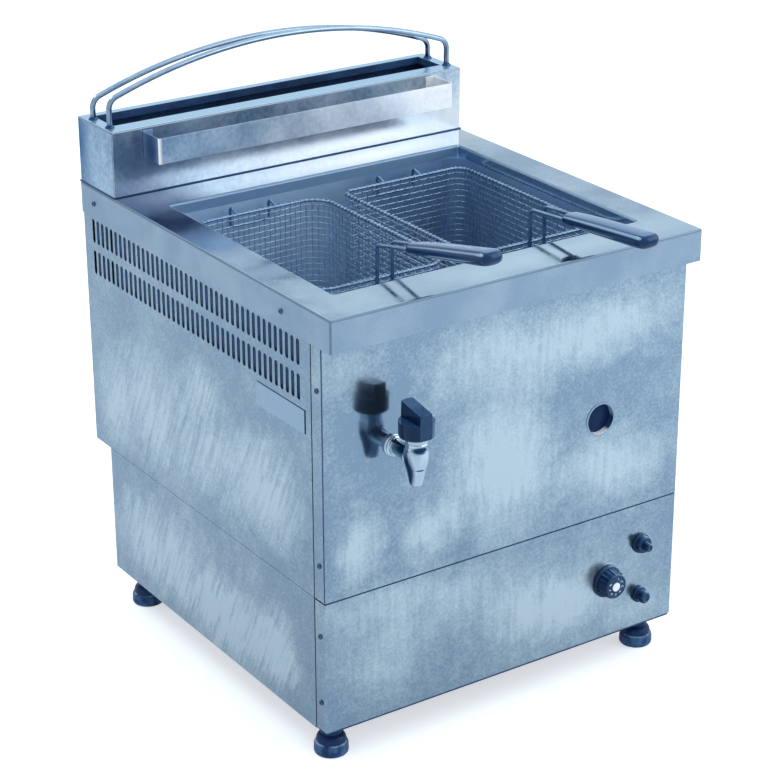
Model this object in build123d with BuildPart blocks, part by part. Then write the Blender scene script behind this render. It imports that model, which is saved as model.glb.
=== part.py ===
"""Gas deep fryer with one tank and two baskets, on a floor-standing stainless cabinet.

Millimetres, +Z up, +X to the right seen from the front, the front towards -Y.
The origin lies on the floor, under the middle of the overall box, which runs
from the tips of the basket grips to the back edge of the worktop.
"""
import os
from math import atan2, cos, radians, sin, sqrt, tan

from build123d import *

os.makedirs("parts", exist_ok=True)

# Overall sizes
worktop_width = 600.0
worktop_depth = 664.0
foot_height = 52.0
base_height = 198.0
cabinet_height = 360.0
skirt_height = 46.0
grip_overhang = 100.0

# Sheet thicknesses, bends and clearances
worktop_sheet = 1.5
tank_sheet = 1.5
panel_sheet = 1.2
frame_sheet = 2.0
bend_radius = 2.5
seam_gap = 0.6
front_seam_gap = 2.2
assembly_gap = 0.3
running_gap = 0.05
slide_gap = 0.1

# Cabinet
front_overhang = 25.0
body_inset = 2.0
base_setback = 45.0
return_width = 26.0
tray_drop = 3.5
post_leg = 25.0
tray_rim = 22.0

# Vent slots of the upper side panels
slot_pitch = 13.5
slot_width = 7.5
slot_height = 36.0
slot_rows = 2
slot_row_pitch = 48.0
slot_skirt_gap = 4.0
slot_end_margin = 27.0

# Rating plate
plate_length = 118.0
plate_height = 33.0
plate_sheet = 0.8
plate_front_gap = 125.0
plate_drop = 161.0

# Tank and its opening in the worktop
well_side_strip = 53.0
well_front_strip = 75.0
well_back_strip = 67.0
well_lip = 17.0
well_corner = 4.0
well_bend = 3.5
tank_corner = 30.0
tank_floor_radius = 12.0
tank_flange = 10.0

# Flue box, hanger rail and guard rods
flue_height = 96.5
flue_depth = 102.0
flue_inset = 1.0
flue_front_rim = 28.0
flue_back_rim = 15.0
flue_side_rim = 18.0
flue_rim_fold = 10.0
aperture_front_rim = 6.0
aperture_back_rim = 14.0
aperture_side_rim = 4.0
rail_side_gap = 49.0
rail_height = 37.0
rail_standoff = 48.0
rail_top_drop = 5.5
rail_tab = 16.0
guard_rod = 8.0
guard_arch_radius = 810.0
guard_bend = 18.0
guard_rear_rise = 85.5
guard_front_rise = 95.5
guard_pitch = 50.0
guard_back_gap = 29.0
guard_side_inset = 10.5
guard_collar = 14.0
guard_collar_height = 3.0

# Front panel fittings: in from the cabinet's side, and up from the tank floor, the burners or the base
tap_side_inset = 108.5
tap_rise = 27.4
sight_side_inset = 144.0
sight_rise = 45.0
sight_bore = 44.0
sight_length = 15.0
knob_side_inset = 123.0
knob_rise = 92.0
button_side_inset = 62.0
piezo_rise = 135.0
pilot_button_rise = 53.0

# Drain pipe and tap
drain_outer = 27.0
drain_bore = 21.0
tap_reach = 52.0
tap_body_radius = 16.5
tap_plug_radius = 9.0
tap_stem_radius = 4.5
tap_outlet_radius = 6.0
tap_handle_radius = 23.8
tap_skirt = 21.0
tap_bar_width = 17.0
tap_bar_rise = 22.0
tap_bar_slope = 10.0

# Knob, piezo igniter and pilot button
knob_base_radius = 24.0
knob_front_radius = 17.0
knob_length = 23.3
knob_flutes = 18
spindle_radius = 4.0
insert_radius = 6.5
piezo_flange_radius = 15.0
piezo_barrel_radius = 9.0
piezo_button_radius = 5.5
piezo_button_reach = 22.0
piezo_travel = 8.0
pilot_collar_radius = 12.3
pilot_barrel_radius = 10.8
pilot_button_radius = 9.2
pilot_button_reach = 17.5
pilot_travel = 6.0

# Baskets
basket_depth = 150.0
basket_rim_drop = 23.5
basket_gap = 36.0
basket_side_gap = 14.5
basket_front_gap = 67.0
basket_back_gap = 30.0
basket_wall = 1.0
left_basket_corner = 34.0
right_basket_corner = 20.0
basket_floor_radius = 8.0
rim_wire = 4.5
handle_wire = 5.0
handle_wire_pitch = 24.0
handle_rise = 47.5
handle_wire_run = 60.0
handle_bend = 8.0
left_handle_tilt = 12.2
right_handle_tilt = 5.1
hook_pitch = 64.0
hook_reach = 19.0
hook_lift = 7.0
hook_drop = 30.0
grip_stem_length = 70.0
grip_stem_width = 30.0
grip_stem_height = 15.0
grip_end_width = 34.0
grip_end_height = 21.0
grip_nose = 11.0

# Rack in the tank
rack_height = 58.2
rack_margin = 12.0
rack_slot = 10.0
rack_slot_pitch = 20.0

# Feet
foot_side_inset = 31.0
foot_end_inset = 38.0
foot_base_radius = 24.0
foot_step_radius = 20.0
foot_neck_radius = 14.5
foot_bolt_radius = 5.0

# Screws
screw_radius = 2.0
screw_head_radius = 4.0
screw_head_height = 2.4
screw_length = 8.0
screw_hole_radius = 2.15
skirt_screw_front_gap = 116.0
skirt_screw_back_gap = 39.0
skirt_screw_drop = 24.5
return_screw_drop = 61.0
seam_screw_gap = 52.0
base_screw_rise = 46.0

# Gas train
burner_radius = 20.0
burner_drop = 66.5
burner_port = 2.0
burner_port_pitch = 8.0
burner_front_gap = 20.0
burner_back_gap = 25.0
injector_length = 10.0
injector_gap = 4.0
venturi_radius = 13.0
manifold_size = 18.0
manifold_gap = 4.0
gas_pipe_radius = 7.5
inlet_pipe_radius = 9.0
inlet_thread_radius = 10.48
inlet_thread = 24.0
inlet_reach = 30.0
valve_width = 70.0
valve_depth = 80.0
valve_height = 64.0
valve_corner = 6.0
valve_boss_radius = 15.0
valve_panel_gap = 2.0
firebox_height = 100.0
firebox_margin = 15.0
duct_front_gap = 52.0
duct_back_gap = 10.0
pilot_burner_gap = 36.0
pilot_pitch = 19.0
pilot_row_rise = 15.0
pilot_front_gap = 18.0
pilot_head_gap = 12.0
bulb_knob_offset = 25.0
bulb_rise = 27.0

# Levels worked out from the sizes above
base_z = foot_height
seam_z = base_z + base_height
skirt_z = seam_z + cabinet_height
worktop_z = skirt_z + skirt_height
under_z = worktop_z - worktop_sheet
flue_top_z = worktop_z + flue_height
basket_rim_z = worktop_z - basket_rim_drop
basket_bottom_z = basket_rim_z - basket_depth
rack_top_z = basket_bottom_z - assembly_gap
tank_floor_z = rack_top_z - rack_height
firebox_top_z = tank_floor_z - tank_sheet
firebox_floor_z = firebox_top_z - firebox_height
burner_z = firebox_top_z - burner_drop

# Front to back
front_y = grip_overhang - (worktop_depth + grip_overhang) / 2
back_y = front_y + worktop_depth
middle_y = (front_y + back_y) / 2
panel_y = front_y + front_overhang
panel_inner_y = panel_y + panel_sheet
body_back_y = back_y - body_inset
base_back_y = body_back_y - base_setback
return_y = panel_y + return_width
well_front_y = front_y + well_front_strip
well_back_y = back_y - flue_depth - well_back_strip
well_depth = well_back_y - well_front_y
well_middle_y = (well_front_y + well_back_y) / 2
flue_front_y = back_y - flue_depth
flue_middle_y = (flue_front_y + back_y) / 2

# Side to side
body_half = worktop_width / 2 - body_inset
inner_half = body_half - panel_sheet
flue_half = worktop_width / 2 - flue_inset
well_width = worktop_width - 2 * well_side_strip
firebox_half = well_width / 2 - firebox_margin
basket_width = (well_width - basket_gap) / 2 - basket_side_gap
basket_offset = (basket_width + basket_gap) / 2
tap_x = tap_side_inset - body_half
sight_x = body_half - sight_side_inset
knob_x = body_half - knob_side_inset
bulb_x = knob_x + bulb_knob_offset
button_x = body_half - button_side_inset

# Heights of the fittings
tap_z = tank_floor_z + tap_rise
bulb_z = tank_floor_z + bulb_rise
sight_z = burner_z + sight_rise
pilot_row_z = burner_z + pilot_row_rise
knob_z = base_z + knob_rise
piezo_z = base_z + piezo_rise
pilot_button_z = base_z + pilot_button_rise


def front_plane(y):
    """Upright plane at depth y, facing the front, with X to the right and Z up."""
    return Plane(origin=(0, y, 0), x_dir=(1, 0, 0), z_dir=(0, -1, 0))


def side_plane(x):
    """Upright plane at width x, facing right, with local X along +Y and local Y up."""
    return Plane(origin=(x, 0, 0), x_dir=(0, 1, 0), z_dir=(1, 0, 0))


# Screw places: depth and height on both side faces
skirt_screw_y = (front_y + skirt_screw_front_gap, back_y - skirt_screw_back_gap)
return_screw_y = panel_y + (return_width - front_seam_gap) / 2
skirt_screws = [(y, worktop_z - skirt_screw_drop) for y in skirt_screw_y]
upper_screws = [(return_screw_y, skirt_z - return_screw_drop), (return_screw_y, seam_z + seam_screw_gap)]
lower_screws = [(return_screw_y, seam_z - seam_screw_gap), (return_screw_y, base_z + base_screw_rise)]


# Worktop: one folded sheet with a skirt, the tank opening with its lip, and the flue aperture
aperture_front_y = flue_front_y + aperture_front_rim
aperture_back_y = back_y - aperture_back_rim
aperture_half = firebox_half - aperture_side_rim
aperture_middle_y = (aperture_front_y + aperture_back_y) / 2

with BuildPart() as worktop:
    with BuildSketch(Plane.XY.offset(skirt_z)):
        with Locations((0, middle_y)):
            Rectangle(worktop_width, worktop_depth)
    extrude(amount=skirt_height)
    fillet(worktop.edges().filter_by(Axis.Z), bend_radius)
    fillet(worktop.edges().group_by(Axis.Z)[-1], bend_radius)
    offset(amount=-worktop_sheet, openings=worktop.faces().sort_by(Axis.Z)[0])
    with BuildSketch(Plane.XY.offset(worktop_z - well_lip)):
        with Locations((0, well_middle_y)):
            RectangleRounded(well_width + 2 * worktop_sheet, well_depth + 2 * worktop_sheet,
                             well_corner + worktop_sheet)
    extrude(amount=well_lip - worktop_sheet)
    with BuildSketch(Plane.XY.offset(worktop_z - well_lip)):
        with Locations((0, well_middle_y)):
            RectangleRounded(well_width, well_depth, well_corner)
    extrude(amount=well_lip, mode=Mode.SUBTRACT)
    rim_edges = worktop.edges().filter_by_position(Axis.Z, worktop_z - 0.01, worktop_z + 0.01)
    well_edges = rim_edges.filter_by(lambda e: abs(e.center().X) < well_width / 2 + 0.01
                                     and abs(e.center().Y - well_middle_y) < well_depth / 2 + 0.01)
    under_edges = worktop.edges().filter_by_position(Axis.Z, under_z - 0.01, under_z + 0.01)
    lip_edges = under_edges.filter_by(lambda e: abs(e.center().X) < well_width / 2 + worktop_sheet + 0.01
                                      and abs(e.center().Y - well_middle_y) < well_depth / 2 + worktop_sheet + 0.01)
    fillet(lip_edges, well_bend - worktop_sheet)
    fillet(well_edges, well_bend)
    with BuildSketch(Plane.XY.offset(worktop_z)):
        with Locations((0, aperture_middle_y)):
            Rectangle(2 * aperture_half, aperture_back_y - aperture_front_y)
    extrude(amount=-2 * worktop_sheet, mode=Mode.SUBTRACT)
    with BuildSketch(side_plane(0)):
        with Locations(*skirt_screws):
            Circle(screw_hole_radius)
    extrude(amount=worktop_width, both=True, mode=Mode.SUBTRACT)
worktop.part.label = "worktop"
export_step(worktop.part, "parts/worktop.step")


# Fry tank: a deep rounded tub whose flange sits under the lip of the worktop opening
tank_top_z = worktop_z - well_lip
tank_outer_width = well_width + 2 * tank_sheet
tank_outer_depth = well_depth + 2 * tank_sheet

with BuildPart() as fry_tank:
    with BuildSketch(Plane.XY.offset(tank_floor_z - tank_sheet)):
        with Locations((0, well_middle_y)):
            RectangleRounded(tank_outer_width, tank_outer_depth, tank_corner + tank_sheet)
    extrude(amount=tank_top_z - tank_floor_z + tank_sheet)
    fillet(fry_tank.edges().group_by(Axis.Z)[0], tank_floor_radius + tank_sheet)
    offset(amount=-tank_sheet, openings=fry_tank.faces().sort_by(Axis.Z)[-1])
    with BuildSketch(Plane.XY.offset(tank_top_z - tank_sheet)):
        with Locations((0, well_middle_y)):
            Rectangle(tank_outer_width + 2 * tank_flange, tank_outer_depth + 2 * tank_flange)
            RectangleRounded(well_width, well_depth, tank_corner, mode=Mode.SUBTRACT)
    extrude(amount=tank_sheet)
    with BuildSketch(front_plane(well_front_y)):
        with Locations((tap_x, tap_z), (bulb_x, bulb_z)):
            Circle(drain_outer / 2 + slide_gap)
    extrude(amount=2 * tank_sheet, both=True, mode=Mode.SUBTRACT)
fry_tank.part.label = "fry_tank"
export_step(fry_tank.part, "parts/fry_tank.step")


# Basket rack: a slotted plate on two folded legs, standing on the tank floor
rack_width = well_width - 2 * rack_margin - 2 * tank_floor_radius
rack_depth = well_depth - 2 * rack_margin - 2 * tank_floor_radius
rack_slot_count = int((rack_width - 4 * rack_slot) // rack_slot_pitch)

with BuildPart() as basket_rack:
    with BuildSketch(front_plane(well_middle_y + rack_depth / 2)):
        with BuildLine():
            leg = FilletPolyline(
                (-rack_width / 2, tank_floor_z), (-rack_width / 2, rack_top_z),
                (rack_width / 2, rack_top_z), (rack_width / 2, tank_floor_z),
                radius=bend_radius)
            offset(leg, amount=-frame_sheet, side=Side.RIGHT)
        make_face()
    extrude(amount=rack_depth)
    with BuildSketch(Plane.XY.offset(rack_top_z)):
        with Locations((0, well_middle_y)):
            with GridLocations(rack_slot_pitch, rack_depth / 2, rack_slot_count, 2):
                SlotOverall(rack_depth / 2 - 2 * rack_slot, rack_slot, rotation=90)
    extrude(amount=-2 * frame_sheet, mode=Mode.SUBTRACT)
basket_rack.part.label = "basket_rack"
export_step(basket_rack.part, "parts/basket_rack.step")


# Flue box: four walls and a folded rim round the outlet slot
flue_slot_width = 2 * (flue_half - flue_side_rim)
flue_slot_depth = flue_depth - flue_front_rim - flue_back_rim
flue_slot_y = flue_front_y + flue_front_rim + flue_slot_depth / 2

with BuildPart() as flue_box:
    with BuildSketch(Plane.XY.offset(worktop_z)):
        with Locations((0, flue_middle_y)):
            Rectangle(2 * flue_half, flue_depth)
    extrude(amount=flue_height)
    fillet(flue_box.edges().filter_by(Axis.Z), bend_radius)
    fillet(flue_box.edges().group_by(Axis.Z)[-1], bend_radius)
    offset(amount=-panel_sheet, openings=flue_box.faces().sort_by(Axis.Z)[0])
    with BuildSketch(Plane.XY.offset(flue_top_z)):
        with Locations((0, flue_slot_y)):
            Rectangle(flue_slot_width, flue_slot_depth)
    extrude(amount=-2 * panel_sheet, mode=Mode.SUBTRACT)
    with BuildSketch(Plane.XY.offset(flue_top_z - panel_sheet)):
        with Locations((0, flue_slot_y)):
            Rectangle(flue_slot_width + 2 * panel_sheet, flue_slot_depth + 2 * panel_sheet)
            Rectangle(flue_slot_width, flue_slot_depth, mode=Mode.SUBTRACT)
    extrude(amount=-flue_rim_fold)
flue_box.part.label = "flue_box"
export_step(flue_box.part, "parts/flue_box.step")


# Hanger rail: a strip with folded ends, whose inward tabs are spot-welded to the flue box
rail_top_z = flue_top_z - rail_top_drop
rail_half = flue_half - rail_side_gap

with BuildPart() as hanger_rail:
    with BuildSketch(Plane.XY.offset(rail_top_z - rail_height)):
        with BuildLine():
            strip = FilletPolyline(
                (-rail_half + rail_tab, flue_front_y), (-rail_half, flue_front_y),
                (-rail_half, flue_front_y - rail_standoff), (rail_half, flue_front_y - rail_standoff),
                (rail_half, flue_front_y), (rail_half - rail_tab, flue_front_y),
                radius=bend_radius)
            offset(strip, amount=worktop_sheet, side=Side.LEFT)
        make_face()
    extrude(amount=rail_height)
hanger_rail.part.label = "hanger_rail"
export_step(hanger_rail.part, "parts/hanger_rail.step")


# Guard rods: round bars bent to a low arch, standing on the side rims of the flue box
guard_half = flue_half - guard_side_inset
guard_rows = {
    "guard_rod_rear": (back_y - guard_back_gap, guard_rear_rise),
    "guard_rod_front": (back_y - guard_back_gap - guard_pitch, guard_front_rise),
}


def guard(y, rise):
    """One rod: a leg, a tight bend, the long arch, and the same on the other side."""
    plane = Plane(origin=(0, y, flue_top_z), x_dir=(1, 0, 0), z_dir=(0, -1, 0))
    arch_centre = rise - guard_rod / 2 - guard_arch_radius
    bend_x = guard_half - guard_bend
    bend_z = arch_centre + sqrt((guard_arch_radius - guard_bend) ** 2 - bend_x ** 2)
    lean = atan2(bend_x, bend_z - arch_centre)
    arch_x = guard_arch_radius * sin(lean)
    arch_z = arch_centre + guard_arch_radius * cos(lean)
    half_turn = radians(90) - (radians(90) - lean) / 2
    bend_mid_x = bend_x + guard_bend * sin(half_turn)
    bend_mid_z = bend_z + guard_bend * cos(half_turn)
    with BuildPart() as rod:
        with BuildLine(plane) as path:
            Line((-guard_half, 0), (-guard_half, bend_z))
            ThreePointArc((-guard_half, bend_z), (-bend_mid_x, bend_mid_z), (-arch_x, arch_z))
            ThreePointArc((-arch_x, arch_z), (0, rise - guard_rod / 2), (arch_x, arch_z))
            ThreePointArc((arch_x, arch_z), (bend_mid_x, bend_mid_z), (guard_half, bend_z))
            Line((guard_half, bend_z), (guard_half, 0))
        with BuildSketch(Plane.XY.offset(flue_top_z)):
            with Locations((-guard_half, y)):
                Circle(guard_rod / 2)
        sweep(path=path.wires()[0])
        with BuildSketch(Plane.XY.offset(flue_top_z)):
            with Locations((-guard_half, y), (guard_half, y)):
                Circle(guard_collar / 2)
        extrude(amount=guard_collar_height, taper=30)
    return rod.part


for name, (y, rise) in guard_rows.items():
    rod_part = guard(y, rise)
    rod_part.label = name
    export_step(rod_part, f"parts/{name}.step")


# Front panels: folded sheets with a return on each side
def folded_front(bottom_z, top_z, holes):
    """A front panel with side returns; holes are (x, z, radius) through its face."""
    height = top_z - bottom_z
    with BuildPart() as panel:
        with BuildSketch(Plane.XY.offset(bottom_z)):
            with BuildLine():
                fold = FilletPolyline(
                    (-body_half, return_y - front_seam_gap), (-body_half, panel_y),
                    (body_half, panel_y), (body_half, return_y - front_seam_gap),
                    radius=bend_radius)
                offset(fold, amount=panel_sheet, side=Side.LEFT)
            make_face()
        extrude(amount=height)
        with BuildSketch(front_plane(panel_inner_y)):
            for x, z, radius in holes:
                with Locations((x, z)):
                    Circle(radius)
        extrude(amount=2 * panel_sheet, both=True, mode=Mode.SUBTRACT)
        with BuildSketch(side_plane(0)):
            with Locations(*[place for place in upper_screws + lower_screws
                             if bottom_z < place[1] < top_z]):
                Circle(screw_hole_radius)
        extrude(amount=worktop_width, both=True, mode=Mode.SUBTRACT)
    return panel.part


sight_sleeve = sight_bore / 2 + panel_sheet
spindle_hole = spindle_radius + 2.0

upper_front_part = folded_front(
    seam_z + front_seam_gap / 2, under_z - assembly_gap,
    [(tap_x, tap_z, drain_outer / 2 + slide_gap), (sight_x, sight_z, sight_sleeve + slide_gap)])
upper_front_part.label = "upper_front_panel"
export_step(upper_front_part, "parts/upper_front_panel.step")

lower_front_part = folded_front(
    base_z + tray_drop, seam_z - front_seam_gap / 2,
    [(knob_x, knob_z, spindle_hole), (button_x, piezo_z, piezo_barrel_radius + slide_gap),
     (button_x, pilot_button_z, pilot_barrel_radius + slide_gap)])
lower_front_part.label = "lower_front_panel"
export_step(lower_front_part, "parts/lower_front_panel.step")


# Upper side panels: flat sheets behind the skirt, with two rows of vent slots
upper_panel_depth = body_back_y - return_y
slot_count = int((upper_panel_depth - 2 * slot_end_margin) // slot_pitch) + 1
slot_middle_y = (body_back_y + return_y) / 2
slot_middle_z = skirt_z - slot_skirt_gap - (slot_row_pitch * (slot_rows - 1) + slot_height) / 2
upper_panel_height = under_z - assembly_gap - seam_z - seam_gap / 2


def upper_side(outer_x, outward):
    """One slotted side panel; its outer face lies at outer_x."""
    with BuildPart() as panel:
        with BuildSketch(side_plane(outer_x)):
            with Locations((return_y, seam_z + seam_gap / 2)):
                Rectangle(upper_panel_depth, upper_panel_height, align=(Align.MIN, Align.MIN))
            with Locations((slot_middle_y, slot_middle_z)):
                with GridLocations(slot_pitch, slot_row_pitch, slot_count, slot_rows):
                    SlotOverall(slot_height, slot_width, rotation=90, mode=Mode.SUBTRACT)
            with Locations(*skirt_screws):
                Circle(screw_hole_radius, mode=Mode.SUBTRACT)
        extrude(amount=-outward * panel_sheet)
    return panel.part


# Lower side panels: plain sheets, shorter at the back than the upper ones
def lower_side(outer_x, outward):
    """One plain side panel of the base; its outer face lies at outer_x."""
    with BuildPart() as panel:
        with BuildSketch(side_plane(outer_x)):
            with Locations((return_y, base_z)):
                Rectangle(base_back_y - return_y, base_height - seam_gap / 2, align=(Align.MIN, Align.MIN))
        extrude(amount=-outward * panel_sheet)
    return panel.part


for side, outward in (("left", -1), ("right", 1)):
    upper_part = upper_side(outward * body_half, outward)
    upper_part.label = f"{side}_upper_panel"
    export_step(upper_part, f"parts/{side}_upper_panel.step")
    lower_part = lower_side(outward * body_half, outward)
    lower_part.label = f"{side}_lower_panel"
    export_step(lower_part, f"parts/{side}_lower_panel.step")


# Back panels: the upper one folds forward at the seam to meet the lower one
back_half = inner_half - assembly_gap

with BuildPart() as upper_back_panel:
    with BuildSketch(side_plane(-back_half)):
        with BuildLine():
            fold = FilletPolyline(
                (body_back_y, under_z - assembly_gap), (body_back_y, seam_z + seam_gap / 2),
                (base_back_y - panel_sheet, seam_z + seam_gap / 2),
                radius=bend_radius)
            offset(fold, amount=panel_sheet, side=Side.RIGHT)
        make_face()
    extrude(amount=2 * back_half)
upper_back_panel.part.label = "upper_back_panel"
export_step(upper_back_panel.part, "parts/upper_back_panel.step")

with BuildPart() as lower_back_panel:
    with BuildSketch(front_plane(base_back_y)):
        with Locations((0, base_z)):
            Rectangle(2 * back_half, base_height - seam_gap / 2, align=(Align.CENTER, Align.MIN))
        with Locations((knob_x, knob_z)):
            Circle(inlet_pipe_radius + slide_gap, mode=Mode.SUBTRACT)
    extrude(amount=panel_sheet)
lower_back_panel.part.label = "lower_back_panel"
export_step(lower_back_panel.part, "parts/lower_back_panel.step")


# Base tray: the folded floor of the cabinet, which carries the posts and the feet
tray_half = inner_half - assembly_gap
tray_front_y = panel_inner_y + assembly_gap
tray_back_y = base_back_y - panel_sheet - assembly_gap
foot_x = body_half - foot_side_inset
foot_front_y = panel_y + foot_end_inset
foot_back_y = base_back_y - foot_end_inset
feet = {
    "foot_front_left": (-foot_x, foot_front_y),
    "foot_front_right": (foot_x, foot_front_y),
    "foot_back_left": (-foot_x, foot_back_y),
    "foot_back_right": (foot_x, foot_back_y),
}

with BuildPart() as base_tray:
    with BuildSketch(Plane.XY.offset(base_z)):
        with Locations((0, (tray_front_y + tray_back_y) / 2)):
            Rectangle(2 * tray_half, tray_back_y - tray_front_y)
    extrude(amount=tray_rim)
    fillet(base_tray.edges().filter_by(Axis.Z), bend_radius)
    offset(amount=-frame_sheet, openings=base_tray.faces().sort_by(Axis.Z)[-1])
    with BuildSketch(Plane.XY.offset(base_z)):
        with Locations(*feet.values()):
            Circle(foot_bolt_radius + slide_gap)
    extrude(amount=frame_sheet, mode=Mode.SUBTRACT)
base_tray.part.label = "base_tray"
export_step(base_tray.part, "parts/base_tray.step")


# Corner posts: angle sections from the tray to the underside of the worktop
post_x = tray_half - frame_sheet - assembly_gap
post_front_y = tray_front_y + frame_sheet + assembly_gap
post_back_y = tray_back_y - frame_sheet - assembly_gap
post_bottom_z = base_z + frame_sheet
post_height = under_z - post_bottom_z


def corner_post(corner_x, corner_y, side, end):
    """An angle whose outer corner is at (corner_x, corner_y); side and end point outwards."""
    with BuildPart() as post:
        with BuildSketch(Plane.XY.offset(post_bottom_z)):
            with Locations((corner_x - side * post_leg / 2, corner_y - end * post_leg / 2)):
                Rectangle(post_leg, post_leg)
            with Locations((corner_x - side * (post_leg + frame_sheet) / 2,
                            corner_y - end * (post_leg + frame_sheet) / 2)):
                Rectangle(post_leg - frame_sheet, post_leg - frame_sheet, mode=Mode.SUBTRACT)
        extrude(amount=post_height)
        with BuildSketch(side_plane(0)):
            with Locations(*upper_screws, *lower_screws):
                Circle(screw_hole_radius)
        extrude(amount=worktop_width, both=True, mode=Mode.SUBTRACT)
    return post.part


for end_name, y, end in (("front", post_front_y, -1), ("back", post_back_y, 1)):
    for side_name, side in (("left", -1), ("right", 1)):
        post_part = corner_post(side * post_x, y, side, end)
        post_part.label = f"post_{end_name}_{side_name}"
        export_step(post_part, f"parts/post_{end_name}_{side_name}.step")


# Feet: stepped rubber, each held by a bolt through the tray
for name, (x, y) in feet.items():
    with BuildPart() as foot:
        with BuildSketch(Plane(origin=(x, y, 0), x_dir=(1, 0, 0), z_dir=(0, -1, 0))):
            with BuildLine():
                Polyline((0, 0), (foot_base_radius - 1.5, 0), (foot_base_radius, 1.5),
                         (foot_base_radius, 10), (foot_step_radius + 0.5, 15), (foot_step_radius, 19),
                         (foot_neck_radius, 28), (foot_neck_radius, foot_height), (0, foot_height), (0, 0))
            make_face()
        revolve(axis=Axis((x, y, 0), (0, 0, 1)))
        with BuildSketch(Plane.XY.offset(foot_height)):
            with Locations((x, y)):
                Circle(foot_bolt_radius)
        extrude(amount=-foot_height / 2, mode=Mode.SUBTRACT)
    foot.part.label = name
    export_step(foot.part, f"parts/{name}.step")

with BuildPart() as foot_bolts:
    with BuildSketch(Plane.XY.offset(foot_height / 2)):
        with Locations(*feet.values()):
            Circle(foot_bolt_radius)
    extrude(amount=foot_height / 2 + frame_sheet)
    with BuildSketch(Plane.XY.offset(base_z + frame_sheet)):
        with Locations(*feet.values()):
            RegularPolygon(1.7 * foot_bolt_radius, 6)
    extrude(amount=1.3 * foot_bolt_radius)
foot_bolts.part.label = "foot_bolts"
export_step(foot_bolts.part, "parts/foot_bolts.step")


# Rating plate: a thin bare plate on the left side panel
plate_y = front_y + plate_front_gap
plate_z = worktop_z - plate_drop

with BuildPart() as rating_plate:
    with BuildSketch(side_plane(-body_half)):
        with Locations((plate_y, plate_z)):
            RectangleRounded(plate_length, plate_height, 1.5)
    extrude(amount=-plate_sheet)
rating_plate.part.label = "rating_plate"
export_step(rating_plate.part, "parts/rating_plate.step")


# Sight port: a flanged sleeve pressed into the upper front panel, to look at the burner
sight_flange = 0.8

with BuildPart() as sight_port:
    with BuildSketch(front_plane(panel_y + sight_length)):
        with Locations((sight_x, sight_z)):
            Circle(sight_sleeve)
            Circle(sight_bore / 2, mode=Mode.SUBTRACT)
    extrude(amount=sight_length)
    with BuildSketch(front_plane(panel_y)):
        with Locations((sight_x, sight_z)):
            Circle(sight_sleeve + 1.5)
            Circle(sight_bore / 2, mode=Mode.SUBTRACT)
    extrude(amount=sight_flange)
sight_port.part.label = "sight_port"
export_step(sight_port.part, "parts/sight_port.step")


# Drain pipe: welded into the tank front, it ends in the front panel and takes the tap
with BuildPart() as drain_pipe:
    with BuildSketch(front_plane(well_front_y)):
        with Locations((tap_x, tap_z)):
            Circle(drain_outer / 2)
            Circle(drain_bore / 2, mode=Mode.SUBTRACT)
    extrude(amount=well_front_y - panel_y)
drain_pipe.part.label = "drain_pipe"
export_step(drain_pipe.part, "parts/drain_pipe.step")


# Drain tap: a plug cock on a horizontal stub, with a tapering spout
tap_y = panel_y - tap_reach
tap_stub_radius = drain_bore / 2 - running_gap
tap_bonnet_bottom = 20.0
tap_bonnet_top = 31.0
tap_handle_bottom = 33.0
tap_spout_end = -35.0
tap_flange_radius = 16.0
tap_flange_length = 9.0
plug_bottom = -10.0
tap_plane = Plane(origin=(tap_x, tap_y, tap_z), x_dir=(1, 0, 0), z_dir=(0, -1, 0))
tap_axis = Axis((tap_x, tap_y, tap_z), (0, 0, 1))


def tap_level(height):
    """Level plane through the tap's axis, height above its stub."""
    return Plane.XY.offset(tap_z + height).move(Location((tap_x, tap_y, 0)))


with BuildPart() as tap_flange:
    with BuildSketch(front_plane(panel_y)):
        with Locations((tap_x, tap_z)):
            Circle(tap_flange_radius)
            Circle(tap_stub_radius + slide_gap, mode=Mode.SUBTRACT)
    extrude(amount=tap_flange_length / 2)
    with BuildSketch(front_plane(panel_y - tap_flange_length / 2)):
        with Locations((tap_x, tap_z)):
            Circle(tap_flange_radius - 2.5)
            Circle(tap_stub_radius + slide_gap, mode=Mode.SUBTRACT)
    extrude(amount=tap_flange_length / 2)
    fillet(tap_flange.edges().filter_by(GeomType.CIRCLE).group_by(SortBy.RADIUS)[-1], 1.2)
tap_flange.part.label = "tap_flange"
export_step(tap_flange.part, "parts/tap_flange.step")

with BuildPart() as tap_body:
    with BuildSketch(tap_plane):
        with BuildLine():
            Polyline((0, tap_spout_end), (9.0, tap_spout_end), (12.6, -20.0), (13.8, -19.0),
                     (tap_body_radius, -2.0), (tap_body_radius, 14.0), (tap_body_radius - 1.5, 16.0),
                     (tap_body_radius - 1.5, tap_bonnet_bottom), (0, tap_bonnet_bottom), (0, tap_spout_end))
        make_face()
    revolve(axis=tap_axis)
    with BuildSketch(front_plane(panel_y + sight_length)):
        with Locations((tap_x, tap_z)):
            Circle(tap_stub_radius)
    extrude(amount=tap_reach + sight_length)
    with BuildSketch(tap_level(plug_bottom)):
        Circle(tap_plug_radius + running_gap)
    extrude(amount=tap_bonnet_bottom - plug_bottom, mode=Mode.SUBTRACT)
    with BuildSketch(tap_level(tap_spout_end)):
        Circle(tap_outlet_radius)
    extrude(amount=plug_bottom - tap_spout_end, mode=Mode.SUBTRACT)
    with BuildSketch(front_plane(panel_y + sight_length)):
        with Locations((tap_x, tap_z)):
            Circle(tap_outlet_radius)
    extrude(amount=tap_reach + sight_length, mode=Mode.SUBTRACT)
tap_body.part.label = "tap_body"
export_step(tap_body.part, "parts/tap_body.step")

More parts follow.
